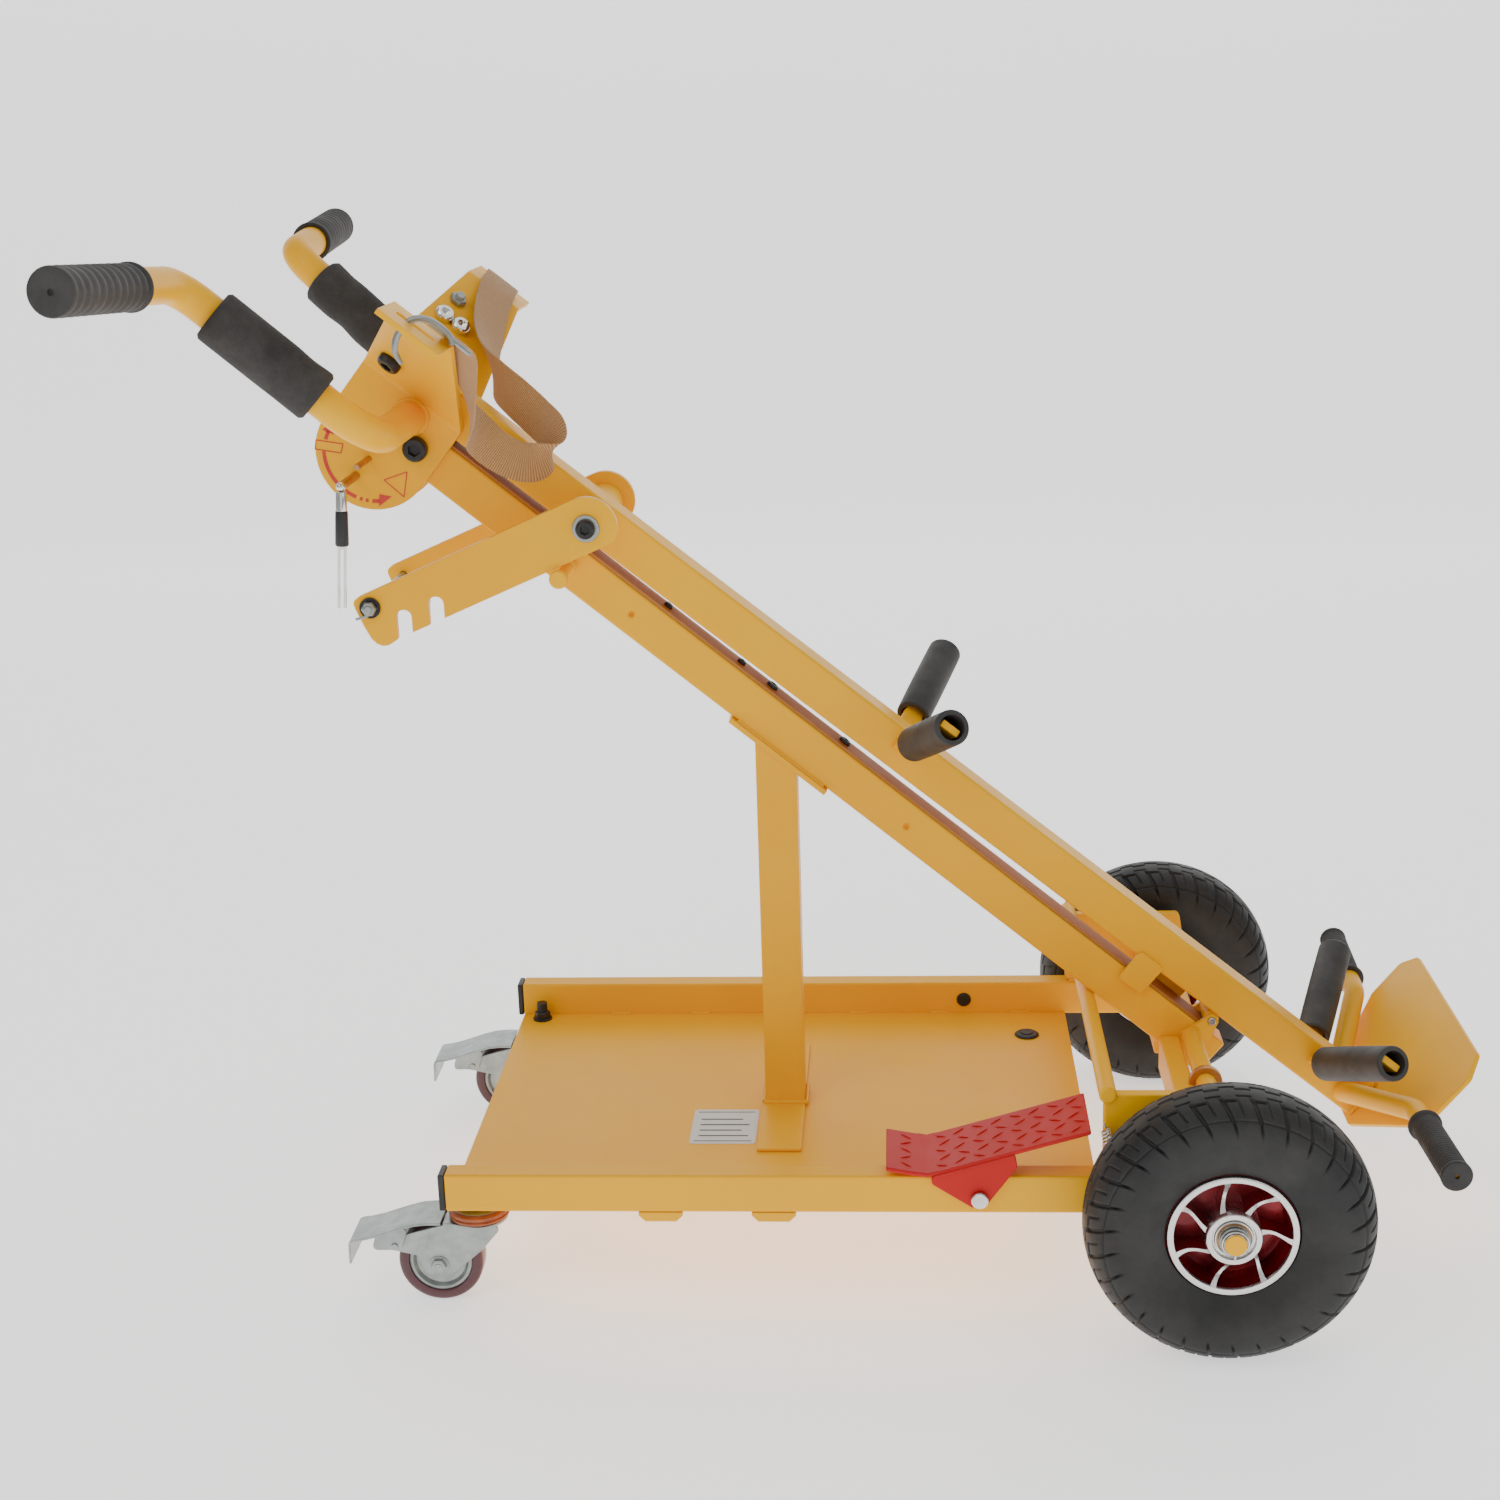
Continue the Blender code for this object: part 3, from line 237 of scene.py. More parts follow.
YELLOW = powder_coat("yellow_coat", (0.96, 0.49, 0.001), (0.9, 0.43, 0.001), (0.34, 0.46))
PEDAL_RED = powder_coat("red_coat", (0.56, 0.016, 0.014), (0.43, 0.01, 0.01), (0.38, 0.5))
STRIP = powder_coat("brown_strip", (0.48, 0.2, 0.045), (0.39, 0.15, 0.032), (0.5, 0.68))
DARK = rubber("black_oxide", (0.012, 0.012, 0.013), (0.028, 0.027, 0.027), (0.28, 0.45), 600, 0.1, 0.0004)
RUBBER = rubber("grip_rubber", (0.026, 0.025, 0.025), (0.06, 0.056, 0.052), (0.55, 0.75))
SLEEVE = rubber("sleeve_rubber", (0.03, 0.029, 0.029), (0.068, 0.064, 0.06), (0.48, 0.7), 700, 0.3)
TYRE = rubber("tyre_rubber", (0.01, 0.01, 0.01), (0.03, 0.028, 0.026), (0.42, 0.62), 520, 0.18, 0.0)
PLASTIC = rubber("black_plastic", (0.014, 0.014, 0.015), (0.03, 0.03, 0.031), (0.35, 0.5), 500, 0.12)
FOAM = foam_skin("foam_skin")
STEEL = bare_metal("bright_steel", (0.74, 0.73, 0.7))
CHROME = bare_metal("chrome", (0.82, 0.82, 0.8), (0.06, 0.16), bump=0.03)
ZINC = bare_metal("zinc_plate", (0.4, 0.43, 0.42), (0.3, 0.46), 0.85, bump=0.12, scale=60, tint=(0.26, 0.29, 0.28))
POLISHED = bare_metal("turned_aluminium", (0.8, 0.79, 0.77), (0.2, 0.36), grain=(8, 1, 8), scale=60, bump=0.1)
BRONZE = bare_metal("bronze_bush", (0.56, 0.3, 0.13), (0.3, 0.45), 0.85)
RACE = bare_metal("race_orange", (0.42, 0.115, 0.035), (0.32, 0.5), 0.2, tint=(0.28, 0.07, 0.025))
HUB = hub_paint("hub_enamel", (0.33, 0.006, 0.014), (0.12, 0.002, 0.006), 0.55, (0.22, 0.36))
MAROON = hub_paint("maroon_tread", (0.095, 0.016, 0.022), (0.055, 0.008, 0.012), 0.0, (0.28, 0.45))
INK = rubber("red_ink", (0.56, 0.035, 0.025), (0.64, 0.06, 0.035), (0.4, 0.5), 500, 0.05, 0.0)
BLACK_INK = rubber("label_ink", (0.03, 0.028, 0.026), (0.05, 0.046, 0.042), (0.4, 0.5), 500, 0.05, 0.0)
PAPER = rubber("sticker_film", (0.62, 0.6, 0.55), (0.7, 0.68, 0.63), (0.3, 0.42), 300, 0.05, 0.0)

WEAVE = webbing("strap_weave")


# ------------------------------------------------------------------ mesh helpers
def joined(name, meshes):
    """One mesh from a list of bmeshes, which are freed."""
    data = bpy.data.meshes.new(name)
    whole = bmesh.new()
    for one in meshes:
        bmesh.ops.recalc_face_normals(one, faces=one.faces)
        one.to_mesh(data)
        whole.from_mesh(data)
        one.free()
    whole.to_mesh(data)
    whole.free()
    return data


def placed(name, data):
    obj = bpy.data.objects.new(name, data)
    bpy.context.scene.collection.objects.link(obj)
    return obj


def ease(obj, width, segments=2, angle=50):
    """Rounds the edges that turn more than angle degrees."""
    modifier = obj.modifiers.new("ease", 'BEVEL')
    modifier.width, modifier.segments = width, segments
    modifier.limit_method, modifier.angle_limit = 'ANGLE', radians(angle)
    modifier.harden_normals = True


def piece(name, meshes, mat, body, replaces=(), bevel=0.0, segments=2, smooth=True, angle=32):
    """One visible piece, from bmesh solids in world coordinates, riding on a body."""
    data = joined(name, meshes if isinstance(meshes, (list, tuple)) else [meshes])
    if smooth:
        data.shade_smooth()
        data.set_sharp_from_angle(angle=radians(angle))
    data.materials.append(mat)
    obj = placed(name, data)
    if bevel:
        ease(obj, bevel, segments, 35)
    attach(obj, body)
    if replaces:
        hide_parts(*((replaces,) if isinstance(replaces, str) else replaces))
    return obj


def cut_out(obj, meshes):
    """Cuts the meshes out of a piece, ahead of its bevel."""
    cutter = placed(obj.name + "_cut", joined(obj.name + "_cut", meshes))
    modifier = obj.modifiers.new("cut", 'BOOLEAN')
    modifier.operation = 'DIFFERENCE'
    modifier.solver = 'EXACT'
    modifier.object = cutter
    bpy.context.view_layer.objects.active = obj
    while obj.modifiers[0].name != "cut":
        obj.modifiers.move(len(obj.modifiers) - 1, 0)
    with bpy.context.temp_override(object=obj, active_object=obj, selected_objects=[obj]):
        bpy.ops.object.modifier_apply(modifier="cut")
    obj.data.shade_smooth()
    obj.data.set_sharp_from_angle(angle=radians(32))
    bpy.data.objects.remove(cutter, do_unlink=True)


def skin(rings, closed=False):
    bm = bmesh.new()
    loops = [[bm.verts.new(point) for point in ring] for ring in rings]
    pairs = list(zip(loops, loops[1:])) + ([(loops[-1], loops[0])] if closed else [])
    for one, two in pairs:
        for i in range(len(one)):
            j = (i + 1) % len(one)
            bm.faces.new((one[i], one[j], two[j], two[i]))
    if not closed:
        bm.faces.new(loops[0])
        bm.faces.new(loops[-1])
    return bm


def box(low, high):
    (x0, y0, z0), (x1, y1, z1) = low, high
    return skin([[Vector((x, y, z)) for x, z in ((x0, z0), (x1, z0), (x1, z1), (x0, z1))] for y in (y0, y1)])


def prism(outline, y0, y1):
    return skin([[Vector((x, y, z)) for x, z in outline] for y in (y0, y1)])


def beam_block(at, u0, u1, v0, v1, half_y):
    return skin([[at(u, v, y) for v, y in ((v0, -half_y), (v0, half_y), (v1, half_y), (v1, -half_y))]
        for u in (u0, u1)])


def square_to(direction):
    direction = Vector(direction).normalized()
    helper = Vector((0, 1, 0)) if abs(direction.y) < 0.9 else Vector((0, 0, 1))
    across = direction.cross(helper).normalized()
    return across, direction.cross(across).normalized()


def circle(centre, across, up, radius, sides):
    return [centre + radius * (cos(2 * pi * i / sides) * across + sin(2 * pi * i / sides) * up) for i in range(sides)]


def spindle(profile, start, end, sides=40):
    start, end = Vector(start), Vector(end)
    across, up = square_to(end - start)
    return skin([circle(start + (end - start) * along, across, up, radius, sides) for radius, along in profile])


def rod(start, end, radius, sides=32):
    return spindle([(radius, 0.0), (radius, 1.0)], start, end, sides)


def lathe(profile, start, end, sides=64):
    start, end = Vector(start), Vector(end)
    across, up = square_to(end - start)
    rings = []
    for i in range(sides):
        out = cos(2 * pi * i / sides) * across + sin(2 * pi * i / sides) * up
        rings.append([start + (end - start) * along + out * radius for radius, along in profile])
    return skin(rings, closed=True)


def sweep(points, radius, sides=28):
    """Round bar; radius may be a list with one value for each point."""
    points = [Vector(point) for point in points]
    radii = radius if isinstance(radius, (list, tuple)) else [radius] * len(points)
    tangents = [(points[min(i + 1, len(points) - 1)] - points[max(i - 1, 0)]).normalized()
        for i in range(len(points))]
    across, up = square_to(tangents[0])
    rings = [circle(points[0], across, up, radii[0], sides)]
    for i in range(1, len(points)):
        turn = tangents[i - 1].rotation_difference(tangents[i])
        across, up = turn @ across, turn @ up
        rings.append(circle(points[i], across, up, radii[i], sides))
    return skin(rings)


def bent(corners, radius, steps=12):
    corners = [Vector(corner) for corner in corners]
    path = [corners[0]]
    for before, corner, after in zip(corners, corners[1:], corners[2:]):
        back, ahead = (before - corner).normalized(), (after - corner).normalized()
        angle = back.angle(ahead)
        trim = radius * cos(angle / 2) / sin(angle / 2)
        start, end = corner + back * trim, corner + ahead * trim
        centre = corner + (back + ahead).normalized() * hypot(radius, trim)
        arm0, arm1 = (start - centre).normalized(), (end - centre).normalized()
        path += [centre + radius * arm0.slerp(arm1, i / steps) for i in range(steps + 1)]
    return path + [corners[-1]]


def rounded(corners, radius, steps=6):
    out = []
    for i, corner in enumerate(corners):
        before, after = corners[i - 1], corners[(i + 1) % len(corners)]
        path = bent([(*before, 0), (*corner, 0), (*after, 0)], radius, steps)
        out += [(point.x, point.y) for point in path[1:-1]]
    return out


def smooth_path(points, steps=6):
    """Catmull-Rom points through a row of vectors."""
    points = [Vector(point) for point in points]
    out = []
    for i in range(len(points) - 1):
        a, b, c, d = points[max(i - 1, 0)], points[i], points[i + 1], points[min(i + 2, len(points) - 1)]
        for k in range(steps):
            t = k / steps
            out.append(0.5 * ((2 * b) + (c - a) * t + (2 * a - 5 * b + 4 * c - d) * t * t
                              + (3 * b - a - 3 * c + d) * t ** 3))
    return out + [points[-1]]


def weld_bead(points, radius=0.0022, seed=1):
    """Rippled weld along a row of points."""
    rng = random.Random(seed)
    path, radii = [], []
    for one, two in zip(points, points[1:]):
        count = max(2, int((Vector(two) - Vector(one)).length / 0.0012))
        for i in range(count):
            path.append(Vector(one) + (Vector(two) - Vector(one)) * i / count)
            radii.append(radius * (0.88 + 0.18 * abs(sin(len(path) * 0.9)) + 0.05 * rng.random()))
    return sweep(path, radii, 10)


def socket_bolt(centre, direction, radius, height, recess=0.5):
    """Button head with a hexagon socket."""
    direction = Vector(direction).normalized()
    centre = Vector(centre)
    profile = [(radius * 0.96, 0.0), (radius, 0.12), (radius, 0.55), (radius * 0.93, 0.85), (radius * 0.8, 1.0)]
    across, up = square_to(direction)
    bm = bmesh.new()
    sides = 48
    loops = [[bm.verts.new(p) for p in circle(centre + direction * height * a, across, up, r, sides)] for r,
        a in profile]
    hexagon = []
    for i in range(sides):
        turn = 2 * pi * i / sides
        reach = radius * 0.46 / cos((turn + pi / 6) % (pi / 3) - pi / 6)
        hexagon.append((cos(turn) * across + sin(turn) * up) * reach)
    for depth in (1.0, recess):
        loops.append([bm.verts.new(centre + direction * height * depth + h) for h in hexagon])
    for one, two in zip(loops, loops[1:]):
        for i in range(sides):
            j = (i + 1) % sides
            bm.faces.new((one[i], one[j], two[j], two[i]))
    bm.faces.new(loops[0])
    bm.faces.new(loops[-1])
    return bm


def keep(node, mat):
    """A CAD node whose shape is right: it stays and takes a detailed material."""
    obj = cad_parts[node]
    for slot in obj.material_slots:
        slot.material = mat


# ------------------------------------------------------------------ chassis
def chassis():
    for node in ("rail_near", "rail_far", "floor_tray", "post"):
        keep(node, YELLOW)
    for tag, side in SIDES:
        for k, (x0, x1) in enumerate(((AXLE_X - 0.7092, AXLE_X - 0.7035), (AXLE_X + 0.0263, AXLE_X + 0.031))):
            y0, y1 = sorted((side * 0.2149, side * 0.2379))
            piece(f"rail_cap_{tag}_{k}", box((x0, y0, 0.1069), (x1, y1, 0.1431)), PLASTIC, "chassis", bevel=0.0014)
    piece("tray_plug", [spindle([(0.013, 0.0), (0.013, 0.35), (0.0108, 1.0)], (AXLE_X - 0.1495, 0.1526, 0.1091),
        (AXLE_X - 0.1495, 0.1526, 0.1116)), spindle([(0.007, 0.0), (0.006, 1.0)], (AXLE_X - 0.1495, 0.1526, 0.1114),
        (AXLE_X - 0.1495, 0.1526, 0.1128))], PLASTIC, "chassis", bevel=0.0005)
    piece("rail_plug", spindle([(0.0078, 0.0), (0.0078, 0.4), (0.0066, 0.6), (0.006, 1.0)],
        (PEDAL_X, 0.2146, PEDAL_Z), (PEDAL_X, 0.212, PEDAL_Z)), PLASTIC, "chassis")
    piece("tray_welds", [weld_bead([(x, side * 0.2138, 0.1094), (x + 0.022, side * 0.2138, 0.1094)], 0.0016, i) for i,
        x in enumerate(np.arange(-0.36, 0.2, 0.088)) for side in (-1, 1)], YELLOW, "chassis")
    half = 0.0205
    foot = [(-0.401 + AXLE_X - half, -half), (-0.3995 + AXLE_X + half, -half), (-0.3995 + AXLE_X + half, half),
        (-0.401 + AXLE_X - half, half), (-0.401 + AXLE_X - half, -half)]
    piece("post_welds", weld_bead([(x, y, 0.1131) for x, y in foot], 0.0021), YELLOW, "chassis")
    sticker()


def sticker():
    x0, x1, y0, y1, z = AXLE_X - 0.4905, AXLE_X - 0.426, -0.105, -0.03, 0.10905
    corners = rounded([(x0, y0), (x1, y0), (x1, y1), (x0, y1)], 0.004)
    film = skin([[Vector((x, y, z + h)) for x, y in corners] for h in (0.0, 0.00018)])
    piece("tray_sticker", film, PAPER, "chassis")
    top = z + 0.00022
    bars = [box((x0 + 0.004, y0 + 0.005, top), (x1 - 0.004, y0 + 0.0065, top + 0.0001)),
        box((x0 + 0.004, y1 - 0.0065, top), (x1 - 0.004, y1 - 0.005, top + 0.0001))]
    for k in range(4):
        y = y0 + 0.016 + 0.012 * k
        bars.append(box((x0 + 0.008, y, top), (x1 - 0.008 - 0.007 * (k % 2), y + 0.0022, top + 0.0001)))
    piece("sticker_print", bars, BLACK_INK, "chassis")


def mast_parts():
    body = piece("mast_tube", beam_block(mast, -0.028, 0.93, -0.0518, -0.0118, 0.017), YELLOW, "chassis", "mast_beam")
    cut_out(body, [rod(mast(u, v, -0.03), mast(u, v, -0.012), 0.0026, 24) for u,
        v in ((0.692, -0.0325), (0.357, -0.0335))])
    ease(body, 0.0028, 4, 60)
    for tag, side in SIDES:
        low, high = sorted((side * 0.0172, side * 0.022))
        tip = [beam(0.0062 * cos(radians(a)), 0.0062 * sin(radians(a)), 0) for a in range(0, 181, 10)]
        outline = tip + [mast(-0.016, -0.03, 0), mast(0.016, -0.03, 0)]
        ear = piece("hinge_ear_" + tag, prism([(p.x, p.z) for p in outline], low, high), YELLOW, "chassis")
        cut_out(ear, [rod(beam(0, 0, side * 0.01), beam(0, 0, side * 0.03), 0.0043, 24)])
        at = beam(0.7672, -0.0237, 0)
        profile = [(0.0085, 0.0), (0.0085, 0.15), (0.0078, 0.165), (0.005, 0.165), (0.005, 0.905), (0.0078, 0.905),
            (0.0086, 0.92), (0.0086, 0.98), (0.0074, 1.0)]
        piece("stop_pin_" + tag, spindle(profile, (at.x, side * 0.0165, at.z), (at.x, side * 0.085, at.z), 40),
            YELLOW, "chassis")
    piece("hinge_pin_fine", spindle([(0.0034, 0.0), (0.004, 0.015), (0.004, 0.985), (0.0034, 1.0)],
        beam(0, 0, -0.0235), beam(0, 0, 0.0235)), STEEL, "chassis", "hinge_pin")
    keep("slide_strip", STRIP)
    head_v = -0.0118 + 0.003
    for k, (u, radius) in enumerate(((0.6685, 0.0046), (0.58, 0.0046), (0.5425, 0.0062), (0.454, 0.0062))):
        at = mast(u, head_v, 0)
        piece(f"strip_bolt_{k}", socket_bolt(at, mast(0, 1, 0) - mast(0, 0, 0), radius, 0.0034), DARK, "chassis")
    piece("mast_welds", [weld_bead([mast(u, -0.052, side * 0.0168) for u in (0.445, 0.551)], 0.002, 5 + side)
        for side in (-1, 1)], YELLOW, "chassis")


def front_parts():
    parts = []
    for side in (-1, 1):
        low, high = sorted((side * 0.22, side * 0.232))
        outline = rounded([(AXLE_X - 0.104, 0.1436), (AXLE_X + 0.03, 0.1436), (AXLE_X + 0.018, 0.2205),
            (AXLE_X - 0.104, 0.2205)], 0.005)
        parts.append(prism(outline, low, high))
    piece("side_plates", parts, YELLOW, "chassis", "front_frame", bevel=0.0016)
    x, z = AXLE_X - 0.101, 0.2216
    piece("cross_tube", spindle([(0.0062, 0.0), (0.008, 0.003), (0.008, 0.997), (0.0062, 1.0)], (x, -0.236, z),
        (x, 0.236, z), 40), YELLOW, "chassis")
    for tag, side in SIDES:
        piece("hub_tube_" + tag, rod((AXLE_X, side * 0.0225, 0.185), (AXLE_X, side * 0.2205, 0.185), 0.0096, 40),
            YELLOW, "chassis")
        piece("tube_bush_" + tag, lathe([(0.0097, 0), (0.015, 0.0), (0.0155, 0.15), (0.0155, 0.85), (0.015, 1.0),
            (0.0097, 1)], (AXLE_X, side * 0.124, 0.185), (AXLE_X, side * 0.131, 0.185)), BRONZE, "chassis")
        y0, y1 = sorted((side * 0.0173, side * 0.2205))
        piece("axle_beam_" + tag, box((AXLE_X - 0.0305, y0, 0.1475), (AXLE_X - 0.0105, y1, 0.183)), YELLOW, "chassis",
            bevel=0.0024, segments=3)
        piece("plate_weld_" + tag, [weld_bead([(AXLE_X - 0.1, side * (0.2198 if k else 0.2322), 0.144),
            (AXLE_X + 0.026, side * (0.2198 if k else 0.2322), 0.144)], 0.002, k + 2) for k in (0, 1)], YELLOW,
            "chassis")
    end = WHEEL_Y + TYRE_W / 2 + 0.006
    profile = [(0.0085, 0.0), (0.01, 0.002), (0.01, 0.998), (0.0085, 1.0)]
    piece("axle_fine", spindle(profile, (AXLE_X, -end, AXLE_Z), (AXLE_X, end, AXLE_Z), 48), STEEL, "chassis",
        "wheel_axle")
    for tag, side in SIDES:
        piece("axle_spacer_" + tag, lathe([(0.0101, 0), (0.014, 0), (0.0145, 0.05), (0.0145, 0.95), (0.014, 1.0),
            (0.0101, 1)], (AXLE_X, side * 0.2384, AXLE_Z), (AXLE_X, side * 0.2511, AXLE_Z), 48), ZINC, "chassis")
        piece("axle_washer_" + tag, lathe([(0.0101, 0), (0.0128, 0), (0.0135, 0.3), (0.0135, 0.7), (0.0128, 1.0),
            (0.0101, 1)], (AXLE_X, side * 0.3256, AXLE_Z), (AXLE_X, side * 0.3277, AXLE_Z), 48), ZINC, "chassis")
        piece("axle_face_" + tag, spindle([(0.0098, 0.0), (0.0101, 0.3), (0.0094, 1.0)],
            (AXLE_X, side * (end - 0.0052), AXLE_Z), (AXLE_X, side * (end + 0.0005), AXLE_Z), 48), YELLOW, "chassis")
        y = side * (end - 0.0028)
        clip = [(AXLE_X + 0.0112 * cos(radians(a)), y, AXLE_Z + 0.0112 * sin(radians(a)))
            for a in range(-70, 251, 10)]
        piece("axle_clip_" + tag, [sweep(clip, 0.0008, 10), rod((AXLE_X, y, AXLE_Z - 0.016),
            (AXLE_X, y, AXLE_Z - 0.009), 0.0009, 12)], STEEL, "chassis")


# ------------------------------------------------------------------ big wheels
def tread_depth(turn, across):
    """How deep the tread is cut at an angle (turns of the wheel) and a place across it from -1 to 1."""
    blocks = 30
    side = 1 if across >= 0 else -1
    reach = abs(across)
    phase = turn * blocks + (0.5 if side > 0 else 0.0)
    cut = 0.0
    if reach > 0.36:
        lean = 0.55 * (reach - 0.36)
        slot = abs(((phase + lean * side) % 1.0) - 0.5)
        width = 0.055 if reach < 0.95 else 0.03
        cut = max(cut, 1.0 - min(1.0, max(0.0, (slot - width) / 0.03)))
        half = abs(((phase + lean * side + 0.5) % 1.0) - 0.5)
        if 0.4 < reach < 0.8:
            cut = max(cut, 0.55 * (1.0 - min(1.0, max(0.0, (half - 0.025) / 0.02))))
    wave = 0.36 + 0.07 * (1 if ((phase % 1.0) < 0.5) else -1)
    cut = max(cut, 1.0 - min(1.0, max(0.0, (abs(reach - wave) - 0.016) / 0.012)))
    centre = 0.05 * (1 if ((turn * blocks) % 1.0) < 0.5 else -1)
    cut = max(cut, 1.0 - min(1.0, max(0.0, (abs(across - centre) - 0.014) / 0.012)))
    if reach > 0.36:
        cut = max(cut, 0.5 * (1.0 - min(1.0, abs(reach - 0.93) / 0.016)))
    return cut


def tyre(tag, side):
    half, around, rows = TYRE_W / 2, 960, 84  # points round the tyre and across it
    section = []
    for i in range(rows + 1):
        turn = -pi + pi * i / rows
        across = half * cos(turn)
        radius = 0.088 + 0.039 * abs(sin(turn)) ** 0.62
        section.append((radius, across, turn))
    bead = [(0.0585, -0.0262), (0.064, -0.0292), (0.072, -0.0335), (0.08, -0.0366)]
    bm = bmesh.new()
    grid = []
    for k in range(around):
        angle = 2 * pi * k / around
        ring = []
        for radius, across in bead:
            ring.append((radius, across))
        for radius, across, turn in section:
            arc = (turn + pi / 2) / (pi / 2)
            reach = -arc / 0.74
            cut = 0.0
            if abs(reach) < 1.27:
                cut = 0.0026 * tread_depth(k / around, reach)
                cut *= min(1.0, max(0.0, (1.27 - abs(reach)) / 0.16))
            inward = Vector((cos(turn) * 0.6, sin(turn))).normalized()
            ring.append((radius - cut * abs(inward.y), across - cut * inward.x))
        for radius, across in reversed(bead):
            ring.append((radius, -across))
        grid.append([bm.verts.new((AXLE_X + r * cos(angle), side * WHEEL_Y + a, AXLE_Z + r * sin(angle))) for r,
            a in ring])
    for k in range(around):
        one, two = grid[k], grid[(k + 1) % around]
        for i in range(len(one)):
            j = (i + 1) % len(one)
            bm.faces.new((one[i], one[j], two[j], two[i]))
    return piece("tyre_fine_" + tag, bm, TYRE, "wheel_" + tag, "tyre_" + tag, angle=50)


def rim(tag, side):
    body = "wheel_" + tag
    centre = side * WHEEL_Y

    def turned(profile, sides=96):
        """Ring from (radius, offset towards the outer face) points."""
        y0, y1 = centre - side * 0.05, centre + side * 0.05
        return lathe([(r, (a + 0.05) / 0.1) for r, a in profile], (AXLE_X, y0, AXLE_Z), (AXLE_X, y1, AXLE_Z), sides)

    piece("rim_barrel_" + tag, [turned([(0.0578, -0.025), (0.0578, 0.025), (0.0545, 0.0255), (0.05, 0.014),
        (0.0475, 0.002), (0.0475, -0.015), (0.052, -0.0245)]),
        turned([(0.048, -0.002), (0.048, 0.0015), (0.025, 0.0015), (0.025, -0.002)])], HUB, body, "rim_" + tag,
        bevel=0.0005)
    piece("rim_lip_" + tag, [turned([(0.0575, 0.0245), (0.0565, 0.0285), (0.0545, 0.0293), (0.0512, 0.0288),
        (0.0503, 0.0262), (0.0535, 0.0245)]), turned([(0.0575, -0.0245), (0.0565, -0.0285), (0.0545, -0.0293),
        (0.0512, -0.0288), (0.0503, -0.0262), (0.0535, -0.0245)])], POLISHED, body, bevel=0.0003)
    piece("hub_barrel_" + tag, turned([(0.0168, -0.035), (0.024, -0.035), (0.0255, -0.01), (0.0258, 0.005),
        (0.0243, 0.033), (0.0235, 0.0342), (0.019, 0.0342), (0.0186, 0.031), (0.0168, 0.031)]), POLISHED, body,
        bevel=0.0004)
    spokes, faces = [], []
    for i in range(7):
        base = 2 * pi * i / 7 + 0.1
        ring_low, ring_high = [], []
        for k in range(9):
            share = k / 8
            radius = 0.0235 + (0.0512 - 0.0235) * share
            lean = base + side * (0.3 * sin(share * pi / 2) - 0.1)
            across = Vector((-sin(lean), 0, cos(lean)))
            along = Vector((cos(lean), 0, sin(lean)))
            at = Vector((AXLE_X, centre, AXLE_Z)) + along * radius
            top = 0.029 - 0.007 * sin(share * pi) ** 1.2
            wide = 0.0016 + 0.0012 * abs(share - 0.5) ** 2 * 4
            ring_low.append([at + across * w + Vector((0, side * y, 0)) for w,
                y in ((-wide * 1.35, -0.002), (wide * 1.35, -0.002), (wide, top - 0.0006), (-wide, top - 0.0006))])
            ring_high.append([at + across * w + Vector((0, side * y, 0)) for w,
                y in ((-wide * 1.02, top - 0.0012), (wide * 1.02, top - 0.0012), (wide * 1.02, top),
                (-wide * 1.02, top))])
        spokes.append(skin(ring_low))
        faces.append(skin(ring_high))
    piece("spokes_" + tag, spokes, HUB, body, bevel=0.0004)
    piece("spoke_faces_" + tag, faces, POLISHED, body, bevel=0.0002)
    piece("bearing_fine_" + tag, [turned([(0.0103, -0.0355), (0.0132, -0.0355), (0.0132, 0.0335), (0.0103, 0.0335)]),
        turned([(0.0152, -0.035), (0.0166, -0.035), (0.0166, 0.033), (0.0152, 0.033)])], STEEL, body,
        "hub_bush_" + tag, bevel=0.0002)
    piece("bearing_seal_" + tag, turned([(0.0133, -0.034), (0.0151, -0.034), (0.0151, 0.0318), (0.0133, 0.0318)]),
        BRONZE, body)


